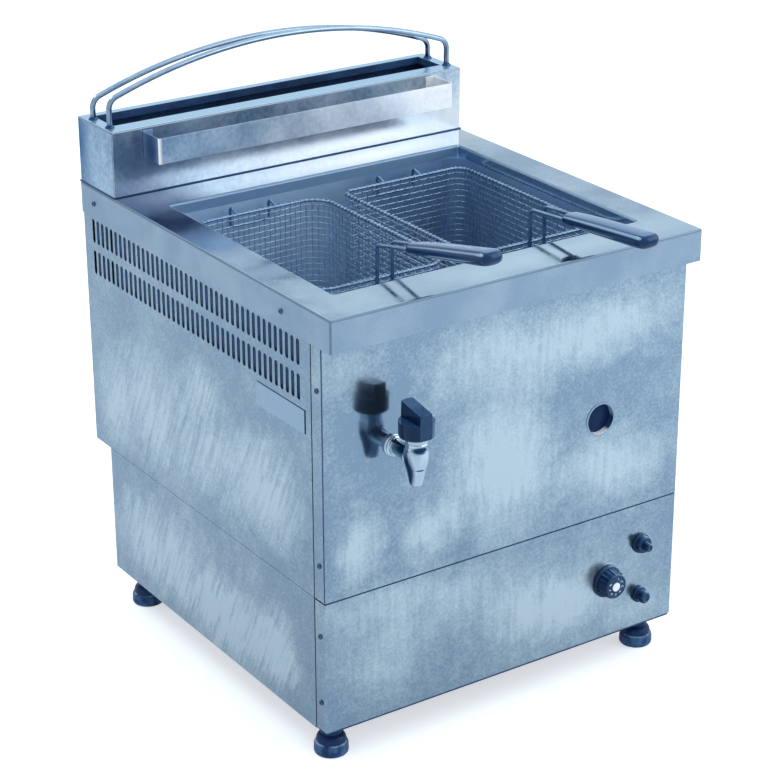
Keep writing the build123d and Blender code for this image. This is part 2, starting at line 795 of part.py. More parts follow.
with BuildPart() as tap_bonnet:
    with BuildSketch(tap_level(tap_bonnet_bottom)):
        Circle(tap_body_radius - 1.5)
        Circle(tap_stem_radius + running_gap, mode=Mode.SUBTRACT)
    extrude(amount=tap_bonnet_top - tap_bonnet_bottom)
    fillet(tap_bonnet.edges().group_by(Axis.Z)[-1].sort_by(SortBy.RADIUS)[-1], 3.0)
tap_bonnet.part.label = "tap_bonnet"
export_step(tap_bonnet.part, "parts/tap_bonnet.step")

tap_stem_top = tap_handle_bottom + 14.0
with BuildPart() as tap_plug:
    with BuildSketch(tap_level(plug_bottom + assembly_gap)):
        Circle(tap_plug_radius)
    extrude(amount=tap_bonnet_bottom - plug_bottom - 2 * assembly_gap)
    with BuildSketch(tap_level(tap_bonnet_bottom - 2 * assembly_gap)):
        Circle(tap_stem_radius)
    extrude(amount=tap_stem_top - tap_bonnet_bottom)
    with BuildSketch(tap_level(plug_bottom)):
        Circle(tap_outlet_radius)
    extrude(amount=-plug_bottom, mode=Mode.SUBTRACT)
    with BuildSketch(side_plane(tap_x)):
        with Locations((tap_y, tap_z)):
            Circle(tap_outlet_radius)
    extrude(amount=2 * tap_plug_radius, mode=Mode.SUBTRACT)
tap_plug.part.label = "tap_plug"
export_step(tap_plug.part, "parts/tap_plug.step")

# Tap handle: a round skirt with a thumb bar across it, lower at the front
bar_top = tap_handle_bottom + tap_skirt + tap_bar_rise
side_cut = tap_handle_radius - tap_bar_width / 2
with BuildPart() as tap_handle:
    with BuildSketch(tap_level(tap_handle_bottom)):
        Circle(tap_handle_radius)
    extrude(amount=tap_skirt + tap_bar_rise)
    for side in (-1, 1):
        with BuildSketch(tap_level(tap_handle_bottom + tap_skirt)):
            with Locations((side * (tap_bar_width / 2 + side_cut), 0)):
                Rectangle(2 * side_cut, 3 * tap_handle_radius)
        extrude(amount=2 * tap_bar_rise, mode=Mode.SUBTRACT)
    slope_drop = 2 * tap_handle_radius * tan(radians(tap_bar_slope))
    with BuildSketch(side_plane(tap_x - 2 * tap_handle_radius)):
        with BuildLine():
            Polyline((tap_y + tap_handle_radius, tap_z + bar_top),
                     (tap_y - tap_handle_radius, tap_z + bar_top - slope_drop),
                     (tap_y - tap_handle_radius, tap_z + bar_top),
                     (tap_y + tap_handle_radius, tap_z + bar_top))
        make_face()
    extrude(amount=4 * tap_handle_radius, mode=Mode.SUBTRACT)
    fillet(tap_handle.edges().group_by(Axis.Z)[0], 1.0)
    with BuildSketch(tap_level(tap_handle_bottom)):
        Circle(tap_stem_radius + running_gap)
    extrude(amount=tap_stem_top - tap_handle_bottom, mode=Mode.SUBTRACT)
tap_handle.part.label = "tap_handle"
export_step(tap_handle.part, "parts/tap_handle.step")


# Gas valve: the die-cast thermostatic control behind the lower front panel
valve_front_y = panel_inner_y + valve_panel_gap
valve_back_y = valve_front_y + valve_depth
spindle_back_y = valve_front_y + 25.0

with BuildPart() as gas_valve:
    with BuildSketch(front_plane(valve_back_y)):
        with Locations((knob_x, knob_z)):
            RectangleRounded(valve_width, valve_height, valve_corner)
    extrude(amount=valve_depth)
    with BuildSketch(front_plane(valve_front_y)):
        with Locations((knob_x, knob_z)):
            Circle(valve_boss_radius)
    extrude(amount=valve_front_y - panel_inner_y)
    with BuildSketch(front_plane(spindle_back_y)):
        with Locations((knob_x, knob_z)):
            Circle(spindle_radius + running_gap)
    extrude(amount=spindle_back_y - panel_inner_y, mode=Mode.SUBTRACT)
gas_valve.part.label = "gas_valve"
export_step(gas_valve.part, "parts/gas_valve.step")

knob_gap = 0.5
knob_back_y = panel_y - knob_gap
knob_front_y = panel_y - knob_length
knob_bore_depth = 14.0

with BuildPart() as valve_spindle:
    with BuildSketch(front_plane(spindle_back_y - assembly_gap)):
        with Locations((knob_x, knob_z)):
            Circle(spindle_radius)
    extrude(amount=spindle_back_y - assembly_gap - knob_back_y + knob_bore_depth)
valve_spindle.part.label = "valve_spindle"
export_step(valve_spindle.part, "parts/valve_spindle.step")

# Gas knob: a skirted knob that narrows to its numbered face, with a white centre insert
knob_plane = Plane(origin=(knob_x, panel_y, knob_z), x_dir=(0, -1, 0), z_dir=(1, 0, 0))
knob_axis = Axis((knob_x, panel_y, knob_z), (0, -1, 0))
knob_skirt = 5.0
insert_depth = 1.5
flute_radius = 2.0

with BuildPart() as gas_knob:
    with BuildSketch(knob_plane):
        with BuildLine():
            Polyline((knob_gap, 0), (knob_gap, knob_base_radius), (knob_skirt - 1, knob_base_radius),
                     (knob_skirt, knob_base_radius - 1), (knob_skirt, knob_base_radius - 3.5),
                     (knob_length - 1, knob_front_radius), (knob_length, knob_front_radius - 1),
                     (knob_length, 0), (knob_gap, 0))
        make_face()
    revolve(axis=knob_axis)
    with BuildSketch(front_plane(panel_y - knob_skirt)):
        with Locations((knob_x, knob_z)):
            with PolarLocations(knob_base_radius - 2.2, knob_flutes):
                Circle(flute_radius)
    extrude(amount=knob_length - knob_skirt - 4.0, mode=Mode.SUBTRACT)
    with BuildSketch(front_plane(knob_back_y)):
        with Locations((knob_x, knob_z)):
            Circle(spindle_radius + running_gap)
    extrude(amount=knob_bore_depth + assembly_gap, mode=Mode.SUBTRACT)
    with BuildSketch(front_plane(knob_front_y)):
        with Locations((knob_x, knob_z)):
            Circle(insert_radius + running_gap)
    extrude(amount=-insert_depth, mode=Mode.SUBTRACT)
gas_knob.part.label = "gas_knob"
export_step(gas_knob.part, "parts/gas_knob.step")

with BuildPart() as knob_insert:
    with BuildSketch(front_plane(knob_front_y + insert_depth)):
        with Locations((knob_x, knob_z)):
            Circle(insert_radius)
    extrude(amount=insert_depth + 0.4)
    fillet(knob_insert.faces().sort_by(Axis.Y)[0].edges(), 0.3)
knob_insert.part.label = "knob_insert"
export_step(knob_insert.part, "parts/knob_insert.step")


# Piezo igniter: a barrel through the panel with a stepped front nut and a plunger button
piezo_flange = 4.0
piezo_nose = 11.0
piezo_nose_radius = 11.5
piezo_barrel = 42.0
piezo_stroke_room = piezo_travel + 3.0
button_tail = 14.0

with BuildPart() as piezo_igniter:
    with BuildSketch(front_plane(panel_y + piezo_barrel)):
        with Locations((button_x, piezo_z)):
            Circle(piezo_barrel_radius)
    extrude(amount=piezo_barrel)
    with BuildSketch(front_plane(panel_y)):
        with Locations((button_x, piezo_z)):
            Circle(piezo_flange_radius)
    extrude(amount=piezo_flange)
    with BuildSketch(front_plane(panel_y - piezo_flange)):
        with Locations((button_x, piezo_z)):
            Circle(piezo_nose_radius)
    extrude(amount=piezo_nose - piezo_flange, taper=8)
    with BuildSketch(front_plane(panel_y - piezo_nose)):
        with Locations((button_x, piezo_z)):
            Circle(piezo_button_radius + slide_gap)
    extrude(amount=-(piezo_nose + button_tail + piezo_stroke_room), mode=Mode.SUBTRACT)
piezo_igniter.part.label = "piezo_igniter"
export_step(piezo_igniter.part, "parts/piezo_igniter.step")

with BuildPart() as piezo_button:
    with BuildSketch(front_plane(panel_y + button_tail)):
        with Locations((button_x, piezo_z)):
            Circle(piezo_button_radius)
    extrude(amount=button_tail + piezo_button_reach)
    fillet(piezo_button.faces().sort_by(Axis.Y)[0].edges(), 2.0)
piezo_button.part.label = "piezo_button"
export_step(piezo_button.part, "parts/piezo_button.step")


# Pilot button: a collar in the panel and the push button that slides in it
pilot_collar = 5.0
pilot_barrel = 26.0
pilot_tail = 10.0

with BuildPart() as pilot_button_collar:
    with BuildSketch(front_plane(panel_y + pilot_barrel)):
        with Locations((button_x, pilot_button_z)):
            Circle(pilot_barrel_radius)
    extrude(amount=pilot_barrel)
    with BuildSketch(front_plane(panel_y)):
        with Locations((button_x, pilot_button_z)):
            Circle(pilot_collar_radius)
    extrude(amount=pilot_collar)
    fillet(pilot_button_collar.faces().sort_by(Axis.Y)[0].edges(), 1.0)
    with BuildSketch(front_plane(panel_y - pilot_collar)):
        with Locations((button_x, pilot_button_z)):
            Circle(pilot_button_radius + slide_gap)
    extrude(amount=-(pilot_collar + pilot_tail + pilot_travel + 3.0), mode=Mode.SUBTRACT)
pilot_button_collar.part.label = "pilot_button_collar"
export_step(pilot_button_collar.part, "parts/pilot_button_collar.step")

with BuildPart() as pilot_button:
    with BuildSketch(front_plane(panel_y + pilot_tail)):
        with Locations((button_x, pilot_button_z)):
            Circle(pilot_button_radius)
    extrude(amount=pilot_tail + pilot_button_reach)
    fillet(pilot_button.faces().sort_by(Axis.Y)[0].edges(), 2.5)
pilot_button.part.label = "pilot_button"
export_step(pilot_button.part, "parts/pilot_button.step")


# Firebox: the open-topped box under the tank in which the burners lie
firebox_front_y = well_front_y + firebox_margin
firebox_back_y = well_back_y - firebox_margin
burner_x = sight_x
pilot_x = burner_x - pilot_burner_gap
electrode_x = pilot_x - pilot_pitch
thermocouple_x = electrode_x - pilot_pitch
electrode_radius = 3.5
thermocouple_radius = 2.5
pilot_tube_radius = 2.0

with BuildPart() as firebox:
    with BuildSketch(Plane.XY.offset(firebox_floor_z)):
        with Locations((0, (firebox_front_y + firebox_back_y) / 2)):
            Rectangle(2 * firebox_half, firebox_back_y - firebox_front_y)
    extrude(amount=firebox_top_z - firebox_floor_z)
    offset(amount=-panel_sheet, openings=[firebox.faces().sort_by(Axis.Z)[-1],
                                          firebox.faces().sort_by(Axis.Y)[-1]])
    with BuildSketch(front_plane(firebox_front_y + panel_sheet)):
        with Locations((-burner_x, burner_z), (burner_x, burner_z)):
            Circle(venturi_radius + slide_gap)
        with Locations((pilot_x, pilot_row_z)):
            Circle(pilot_tube_radius + slide_gap)
        with Locations((electrode_x, pilot_row_z)):
            Circle(electrode_radius + slide_gap)
        with Locations((thermocouple_x, pilot_row_z)):
            Circle(thermocouple_radius + slide_gap)
    extrude(amount=panel_sheet, both=True, mode=Mode.SUBTRACT)
firebox.part.label = "firebox"
export_step(firebox.part, "parts/firebox.step")


# Flue duct: from the open back of the firebox up to the aperture under the flue box
duct_front_y = well_back_y + duct_front_gap
duct_back_y = back_y - duct_back_gap

with BuildPart() as flue_duct:
    with BuildSketch(side_plane(-firebox_half)):
        with BuildLine():
            Polyline((firebox_back_y, firebox_floor_z), (duct_back_y, firebox_floor_z),
                     (duct_back_y, under_z), (duct_front_y, under_z), (duct_front_y, firebox_top_z),
                     (firebox_back_y, firebox_top_z), (firebox_back_y, firebox_floor_z))
        make_face()
    extrude(amount=2 * firebox_half)
    offset(amount=-panel_sheet, openings=[flue_duct.faces().sort_by(Axis.Z)[-1],
                                          flue_duct.faces().sort_by(Axis.Y)[0]])
flue_duct.part.label = "flue_duct"
export_step(flue_duct.part, "parts/flue_duct.step")


# Burners: round tubes with a row of flame ports on top and a mixing throat at the front
manifold_front_y = panel_inner_y + manifold_gap
manifold_back_y = manifold_front_y + manifold_size
burner_front_y = firebox_front_y + burner_front_gap
burner_back_y = firebox_back_y - burner_back_gap
throat_front_y = manifold_back_y + injector_length + injector_gap
burner_length = burner_back_y - burner_front_y
port_count = int(burner_length // burner_port_pitch) - 2

for side_name, x in (("left", -burner_x), ("right", burner_x)):
    with BuildPart() as burner:
        with BuildSketch(front_plane(burner_back_y)):
            with Locations((x, burner_z)):
                Circle(burner_radius)
        extrude(amount=burner_length)
        with BuildSketch(front_plane(burner_front_y)):
            with Locations((x, burner_z)):
                Circle(venturi_radius)
        extrude(amount=burner_front_y - throat_front_y)
        with BuildSketch(front_plane(burner_back_y - frame_sheet)):
            with Locations((x, burner_z)):
                Circle(burner_radius - frame_sheet)
        extrude(amount=burner_length - 2 * frame_sheet, mode=Mode.SUBTRACT)
        with BuildSketch(front_plane(burner_front_y + frame_sheet)):
            with Locations((x, burner_z)):
                Circle(venturi_radius - frame_sheet)
        extrude(amount=burner_front_y + frame_sheet - throat_front_y, mode=Mode.SUBTRACT)
        with BuildSketch(Plane.XY.offset(burner_z + burner_radius)):
            with Locations((x, (burner_front_y + burner_back_y) / 2)):
                with GridLocations(1, burner_port_pitch, 1, port_count):
                    Rectangle(burner_radius, burner_port)
        extrude(amount=-burner_radius / 2, mode=Mode.SUBTRACT)
    burner.part.label = f"burner_{side_name}"
    export_step(burner.part, f"parts/burner_{side_name}.step")


# Gas manifold: a square tube across the front, with an injector in front of each burner
manifold_left_x = -burner_x - manifold_size
manifold_right_x = max(burner_x, knob_x) + manifold_size
manifold_wall = 2.0
manifold_y = (manifold_front_y + manifold_back_y) / 2
injector_radius = 5.0
injector_thread = 3.0
injector_bore = 1.0

with BuildPart() as gas_manifold:
    with BuildSketch(side_plane(manifold_left_x)):
        with Locations((manifold_y, burner_z)):
            Rectangle(manifold_size, manifold_size)
    extrude(amount=manifold_right_x - manifold_left_x)
    with BuildSketch(side_plane(manifold_left_x + manifold_wall)):
        with Locations((manifold_y, burner_z)):
            Rectangle(manifold_size - 2 * manifold_wall, manifold_size - 2 * manifold_wall)
    extrude(amount=manifold_right_x - manifold_left_x - 2 * manifold_wall, mode=Mode.SUBTRACT)
    with BuildSketch(front_plane(manifold_back_y)):
        with Locations((-burner_x, burner_z), (burner_x, burner_z)):
            Circle(injector_thread)
    extrude(amount=manifold_wall, mode=Mode.SUBTRACT)
    with BuildSketch(Plane.XY.offset(burner_z - manifold_size / 2)):
        with Locations((knob_x, manifold_y)):
            Circle(gas_pipe_radius - manifold_wall)
    extrude(amount=manifold_wall, mode=Mode.SUBTRACT)
gas_manifold.part.label = "gas_manifold"
export_step(gas_manifold.part, "parts/gas_manifold.step")

with BuildPart() as gas_injectors:
    with BuildSketch(front_plane(manifold_back_y)):
        with Locations((-burner_x, burner_z), (burner_x, burner_z)):
            Circle(injector_thread)
    extrude(amount=manifold_wall)
    with BuildSketch(front_plane(manifold_back_y)):
        with Locations((-burner_x, burner_z), (burner_x, burner_z)):
            RegularPolygon(injector_radius, 6)
    extrude(amount=-injector_length)
    with BuildSketch(front_plane(manifold_back_y - manifold_wall)):
        with Locations((-burner_x, burner_z), (burner_x, burner_z)):
            Circle(injector_bore)
    extrude(amount=-(injector_length + manifold_wall), mode=Mode.SUBTRACT)
gas_injectors.part.label = "gas_injectors"
export_step(gas_injectors.part, "parts/gas_injectors.step")

# Gas pipes: a riser from the valve to the manifold, and the inlet to the back of the base
valve_top_z = knob_z + valve_height / 2

with BuildPart() as gas_riser:
    with BuildSketch(Plane.XY.offset(valve_top_z)):
        with Locations((knob_x, manifold_y)):
            Circle(gas_pipe_radius)
            Circle(gas_pipe_radius - manifold_wall, mode=Mode.SUBTRACT)
    extrude(amount=burner_z - manifold_size / 2 - valve_top_z)
gas_riser.part.label = "gas_riser"
export_step(gas_riser.part, "parts/gas_riser.step")

inlet_end_y = base_back_y + inlet_reach

with BuildPart() as gas_inlet_pipe:
    with BuildSketch(front_plane(inlet_end_y - inlet_thread)):
        with Locations((knob_x, knob_z)):
            Circle(inlet_pipe_radius)
    extrude(amount=inlet_end_y - inlet_thread - valve_back_y)
    with BuildSketch(front_plane(inlet_end_y)):
        with Locations((knob_x, knob_z)):
            Circle(inlet_thread_radius)
    extrude(amount=inlet_thread)
    with BuildSketch(front_plane(inlet_end_y)):
        with Locations((knob_x, knob_z)):
            Circle(inlet_pipe_radius - manifold_wall)
    extrude(amount=inlet_end_y - valve_back_y, mode=Mode.SUBTRACT)
gas_inlet_pipe.part.label = "gas_inlet_pipe"
export_step(gas_inlet_pipe.part, "parts/gas_inlet_pipe.step")


# Pilot burner: a thin tube from the valve through the firebox front, with a small hood
pilot_y = firebox_front_y - pilot_front_gap
pilot_head_y = firebox_front_y + pilot_head_gap
pilot_start_x = knob_x - valve_width / 2 + valve_corner + pilot_tube_radius
pilot_bend_z = (valve_top_z + pilot_row_z) / 2
pilot_tube_bend = 10.0
pilot_hood_radius = 6.0
pilot_hood_length = 14.0

with BuildPart() as pilot_burner:
    with BuildLine() as pilot_path:
        FilletPolyline((pilot_start_x, pilot_y, valve_top_z), (pilot_start_x, pilot_y, pilot_bend_z),
                       (pilot_x, pilot_y, pilot_bend_z), (pilot_x, pilot_y, pilot_row_z),
                       (pilot_x, pilot_head_y, pilot_row_z), radius=pilot_tube_bend)
    with BuildSketch(Plane(origin=(pilot_start_x, pilot_y, valve_top_z), z_dir=(0, 0, 1))):
        Circle(pilot_tube_radius)
    sweep(path=pilot_path.wires()[0])
    with BuildSketch(front_plane(pilot_head_y + pilot_hood_length)):
        with Locations((pilot_x, pilot_row_z)):
            Circle(pilot_hood_radius)
    extrude(amount=pilot_hood_length)
pilot_burner.part.label = "pilot_burner"
export_step(pilot_burner.part, "parts/pilot_burner.step")

# Spark electrode: a ceramic rod through the firebox front, with a wire tip
electrode_tip = 10.0
electrode_wire_radius = 1.2

with BuildPart() as spark_electrode:
    with BuildSketch(front_plane(pilot_head_y)):
        with Locations((electrode_x, pilot_row_z)):
            Circle(electrode_radius)
    extrude(amount=pilot_head_y - pilot_y)
    with BuildSketch(front_plane(pilot_head_y + electrode_tip)):
        with Locations((electrode_x, pilot_row_z)):
            Circle(electrode_wire_radius)
    extrude(amount=electrode_tip)
spark_electrode.part.label = "spark_electrode"
export_step(spark_electrode.part, "parts/spark_electrode.step")

# Thermocouple: its tip stands in the pilot flame, and its lead runs down to the valve
lead_radius = 1.5
lead_bend = 9.0
lead_y = pilot_y - 12.0
thermocouple_tip = 16.0

with BuildPart() as thermocouple:
    with BuildLine() as lead_path:
        FilletPolyline((thermocouple_x, pilot_y, pilot_row_z), (thermocouple_x, lead_y, pilot_row_z),
                       (thermocouple_x, lead_y, knob_z), (knob_x - valve_width / 2, lead_y, knob_z),
                       radius=lead_bend)
    with BuildSketch(front_plane(pilot_y)):
        with Locations((thermocouple_x, pilot_row_z)):
            Circle(lead_radius)
    sweep(path=lead_path.wires()[0])
    with BuildSketch(front_plane(pilot_head_y + thermocouple_tip)):
        with Locations((thermocouple_x, pilot_row_z)):
            Circle(thermocouple_radius)
    extrude(amount=pilot_head_y + thermocouple_tip - pilot_y)
thermocouple.part.label = "thermocouple"
export_step(thermocouple.part, "parts/thermocouple.step")

# Thermostat bulb: lies low in the tank under the rack, its capillary runs down to the valve
bulb_radius = 4.0
bulb_length = 140.0
capillary_y = manifold_back_y + lead_radius + assembly_gap
gland_radius = drain_outer / 2
gland_length = 8.0

with BuildPart() as thermostat_bulb:
    with BuildLine() as capillary_path:
        FilletPolyline((bulb_x, well_front_y, bulb_z), (bulb_x, capillary_y, bulb_z),
                       (bulb_x, capillary_y, valve_top_z), radius=lead_bend)
    with BuildSketch(front_plane(well_front_y)):
        with Locations((bulb_x, bulb_z)):
            Circle(lead_radius)
    sweep(path=capillary_path.wires()[0])
    with BuildSketch(front_plane(well_front_y + bulb_length)):
        with Locations((bulb_x, bulb_z)):
            Circle(bulb_radius)
    extrude(amount=bulb_length)
    with BuildSketch(front_plane(well_front_y)):
        with Locations((bulb_x, bulb_z)):
            Circle(gland_radius)
    extrude(amount=gland_length)
thermostat_bulb.part.label = "thermostat_bulb"
export_step(thermostat_bulb.part, "parts/thermostat_bulb.step")


# Screws: pan heads on the skirt and on the returns of the front panels, both sides
with BuildPart() as panel_screws:
    for outward in (-1, 1):
        for places, outer in ((skirt_screws, worktop_width / 2), (upper_screws + lower_screws, body_half)):
            with BuildSketch(side_plane(outward * outer)):
                with Locations(*places):
                    Circle(screw_head_radius)
            extrude(amount=outward * screw_head_height, taper=15)
            with BuildSketch(side_plane(outward * outer)):
                with Locations(*places):
                    Circle(screw_radius)
            extrude(amount=-outward * screw_length)
panel_screws.part.label = "panel_screws"
export_step(panel_screws.part, "parts/panel_screws.step")


# Baskets: wire baskets with a heavy rim, hanger hooks at the back and a gripped handle in front
basket_back_y = well_back_y - basket_back_gap
basket_front_y = well_front_y + basket_front_gap
basket_length = basket_back_y - basket_front_y
basket_middle_y = (basket_front_y + basket_back_y) / 2
handle_top_z = basket_rim_z + handle_rise
handle_y = basket_front_y - handle_wire / 2
grip_tip_y = front_y - grip_overhang


def basket_mesh(x, corner):
    """The mesh basket as a thin open-topped tub under its rim."""
    with BuildPart() as tub:
        with BuildSketch(Plane.XY.offset(basket_bottom_z)):
            with Locations((x, basket_middle_y)):
                RectangleRounded(basket_width, basket_length, corner)
        extrude(amount=basket_depth - rim_wire / 2)
        fillet(tub.edges().group_by(Axis.Z)[0], basket_floor_radius)
        offset(amount=-basket_wall, openings=tub.faces().sort_by(Axis.Z)[-1])
    return tub.part


def handle_points(x, tilt):
    """Centre line of one handle wire, from the basket front up and out into the grip."""
    reach = handle_y - grip_tip_y - 2 * grip_nose
    return ((x, handle_y, basket_rim_z - handle_wire_run), (x, handle_y, handle_top_z),
            (x, handle_y - reach, handle_top_z + reach * tan(radians(tilt))))


def basket_frame(x, corner, tilt):
    """Rim, hanger hooks and handle wires, welded into one wire frame."""
    with BuildPart() as frame:
        left_x = x - (basket_width - basket_wall) / 2
        right_x = x + (basket_width - basket_wall) / 2
        rim_front_y = basket_front_y + basket_wall / 2
        rim_back_y = basket_back_y - basket_wall / 2
        with BuildLine() as rim_path:
            FilletPolyline(
                (left_x, rim_front_y, basket_rim_z), (right_x, rim_front_y, basket_rim_z),
                (right_x, rim_back_y, basket_rim_z), (left_x, rim_back_y, basket_rim_z),
                radius=corner - basket_wall / 2, close=True)
        rim_loop = rim_path.wires()[0]
        with BuildSketch(Plane(origin=rim_loop @ 0, z_dir=rim_loop % 0)):
            Circle(rim_wire / 2)
        sweep(path=rim_loop)
        for side in (-1, 1):
            points = handle_points(x + side * handle_wire_pitch / 2, tilt)
            with BuildLine() as handle_path:
                FilletPolyline(*points, radius=handle_bend)
            with BuildSketch(Plane(origin=points[0], z_dir=(0, 0, 1))):
                Circle(handle_wire / 2)
            sweep(path=handle_path.wires()[0])
        hook_left_x = x - hook_pitch / 2
        hook_right_x = x + hook_pitch / 2
        hook_y = basket_back_y + hook_reach
        hook_z = basket_rim_z + hook_lift
        hook_end_z = hook_z - hook_drop
        with BuildLine() as hook_path:
            FilletPolyline(
                (hook_left_x, rim_back_y, basket_rim_z + 1), (hook_left_x, hook_y, hook_z),
                (hook_left_x, hook_y, hook_end_z), (hook_right_x, hook_y, hook_end_z),
                (hook_right_x, hook_y, hook_z), (hook_right_x, rim_back_y, basket_rim_z + 1),
                radius=handle_wire)
        hook_start = hook_path.wires()[0]
        with BuildSketch(Plane(origin=hook_start @ 0, z_dir=hook_start % 0)):
            Circle(handle_wire / 2 - 0.5)
        sweep(path=hook_start)
    return frame.part


def basket_grip(x, tilt):
    """The moulded grip: flat where the wires go in, fuller towards its rounded nose."""
    slope = radians(tilt)
    along = Vector(0, -cos(slope), sin(slope))
    bend = Vector(x, handle_y, handle_top_z)
    length = (handle_y - grip_tip_y) / cos(slope)
    sections = ((grip_stem_length, grip_stem_width, grip_stem_height),
                ((grip_stem_length + length) / 2, grip_end_width - 1, grip_end_height - 2),
                (length - grip_nose, grip_end_width, grip_end_height))
    with BuildPart() as grip:
        for distance, width, height in sections:
            with BuildSketch(Plane(origin=bend + along * distance, x_dir=(1, 0, 0), z_dir=along)):
                RectangleRounded(width, height, 0.45 * height)
        loft(ruled=True)
        with BuildSketch(Plane(origin=bend + along * (length - grip_nose), x_dir=(1, 0, 0), z_dir=along)):
            RectangleRounded(grip_end_width, grip_end_height, 0.45 * grip_end_height)
        with BuildSketch(Plane(origin=bend + along * length, x_dir=(1, 0, 0), z_dir=along)):
            RectangleRounded(grip_end_width - grip_nose, grip_end_height - grip_nose,
                             0.45 * (grip_end_height - grip_nose))
        loft(ruled=True)
        for side in (-1, 1):
            points = handle_points(x + side * handle_wire_pitch / 2, tilt)
            with BuildSketch(Plane(origin=Vector(*points[1]), x_dir=(1, 0, 0), z_dir=along)):
                Circle(handle_wire / 2 + running_gap)
            extrude(amount=(Vector(*points[2]) - Vector(*points[1])).length + 0.2, mode=Mode.SUBTRACT)
    return grip.part


for side_name, side, corner, tilt in (("left", -1, left_basket_corner, left_handle_tilt),
                                      ("right", 1, right_basket_corner, right_handle_tilt)):
    basket_x = side * basket_offset
    for piece, solid in (("mesh", basket_mesh(basket_x, corner)),
                         ("frame", basket_frame(basket_x, corner, tilt)),
                         ("grip", basket_grip(basket_x, tilt))):
        solid.label = f"basket_{side_name}_{piece}"
        export_step(solid, f"parts/basket_{side_name}_{piece}.step")
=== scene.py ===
from math import atan2, cos, pi, radians, sin

import bpy
from mathutils import Matrix, Vector


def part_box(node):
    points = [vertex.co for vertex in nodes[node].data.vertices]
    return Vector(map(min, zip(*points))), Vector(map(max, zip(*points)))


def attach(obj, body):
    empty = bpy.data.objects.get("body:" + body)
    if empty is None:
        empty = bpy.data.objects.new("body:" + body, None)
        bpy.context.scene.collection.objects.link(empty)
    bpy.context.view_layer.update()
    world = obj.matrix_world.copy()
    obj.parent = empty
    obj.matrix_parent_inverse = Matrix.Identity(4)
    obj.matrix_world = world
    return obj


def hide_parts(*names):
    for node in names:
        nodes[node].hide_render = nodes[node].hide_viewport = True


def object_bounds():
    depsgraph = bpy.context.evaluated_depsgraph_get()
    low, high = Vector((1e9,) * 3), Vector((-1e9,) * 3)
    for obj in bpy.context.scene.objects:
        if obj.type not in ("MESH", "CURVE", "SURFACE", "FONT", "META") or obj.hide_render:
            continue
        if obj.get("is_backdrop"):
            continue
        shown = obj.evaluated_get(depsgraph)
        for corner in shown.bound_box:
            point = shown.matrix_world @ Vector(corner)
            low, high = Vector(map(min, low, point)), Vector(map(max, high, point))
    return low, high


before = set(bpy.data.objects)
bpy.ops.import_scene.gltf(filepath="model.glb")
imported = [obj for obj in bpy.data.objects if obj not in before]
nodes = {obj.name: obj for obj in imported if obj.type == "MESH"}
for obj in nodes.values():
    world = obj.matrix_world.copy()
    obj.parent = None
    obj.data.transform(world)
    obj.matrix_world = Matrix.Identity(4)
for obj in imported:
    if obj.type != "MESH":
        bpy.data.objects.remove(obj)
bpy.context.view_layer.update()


# Base tray, corner posts and back panels: the carcass of the cabinet, folded from sheet steel and bolted
# together. The back panels are zinc-coated, with a fine frosty spangle. The tray and posts are painted
# dark as painted shade, so that the seams between the outer panels show as dark lines.
mm = 0.001


def linear(code):
    """The linear colour of an sRGB hex value."""
    channels = [int(code[i:i + 2], 16) / 255 for i in (0, 2, 4)]
    return [c / 12.92 if c <= 0.04045 else ((c + 0.055) / 1.055) ** 2.4 for c in channels] + [1.0]


def add(tree, kind, inputs=(), feeds=None, **settings):
    """Adds a node with its settings and inputs, which are values, hex colours or links from sockets.

    It gives the node's output, and links that to the socket feeds where there is one.
    """
    made = tree.nodes.new("ShaderNode" + kind)
    if kind == "Mix":
        made.data_type = "RGBA"
    for key, value in settings.items():
        setattr(made, key, value)
    for key, value in dict(inputs).items():
        if isinstance(value, bpy.types.NodeSocket):
            tree.links.new(value, made.inputs[key])
        else:
            made.inputs[key].default_value = linear(value) if isinstance(value, str) else value
    if made.outputs:
        output = made.outputs[2 if kind == "Mix" else 0]
        if feeds:
            tree.links.new(output, feeds)
        return output


def start_material(name, **values):
    """A new material with its shader's even values set, its node tree and its Object coordinates."""
    material = bpy.data.materials.new(name)
    material.use_nodes = True
    tree = material.node_tree
    shader = tree.nodes["Principled BSDF"]
    for key, value in values.items():
        shader.inputs[key.replace("_", " ")].default_value = value
    place = add(tree, "TexCoord").node.outputs["Object"]
    return material, tree, shader.inputs, place


def clouded(name, size, detail, dark, pale, rough=None, bump=None, **values):
    """A material whose colour, and roughness and bump where they are given, follow one cloudy noise."""
    material, tree, sockets, place = start_material(name, **values)
    cloud = add(tree, "TexNoise", {"Vector": place, "Scale": 1 / size, "Detail": detail})
    add(tree, "Mix", {0: cloud, 6: dark, 7: pale}, sockets["Base Color"])
    if rough:
        add(tree, "MapRange", {"Value": cloud, "To Min": rough[0], "To Max": rough[1]},
            sockets["Roughness"])
    if bump:
        add(tree, "Bump", {"Height": cloud, "Strength": bump[0], "Distance": bump[1]}, sockets["Normal"])
    return material


def dress(material, *names):
    """Gives CAD nodes a material."""
    for name in names:
        nodes[name].data.materials.clear()
        nodes[name].data.materials.append(material)


spangle_size = 7 * mm
# Hot-dip zinc: dull flakes of slightly different grey.
zinc_sheet, tree, sockets, place = start_material("zinc_coated_sheet", Metallic=1.0)
spangle = add(tree, "TexVoronoi", {"Vector": place, "Scale": 1 / spangle_size})
flake = add(tree, "SeparateColor", {"Color": spangle.node.outputs["Color"]})
frost = add(tree, "TexNoise", {"Vector": place, "Scale": 4 / spangle_size, "Detail": 2.0})
tone = add(tree, "Math", {0: frost, 1: 0.5, 2: flake}, operation="MULTIPLY_ADD")
add(tree, "Mix", {0: tone, 6: "8BA2B7", 7: "A2B7C8"}, sockets["Base Color"])
add(tree, "MapRange", {"Value": tone, "To Min": 0.38, "To Max": 0.55}, sockets["Roughness"])
dress(zinc_sheet, "upper_back_panel", "lower_back_panel", "foot_bolts")

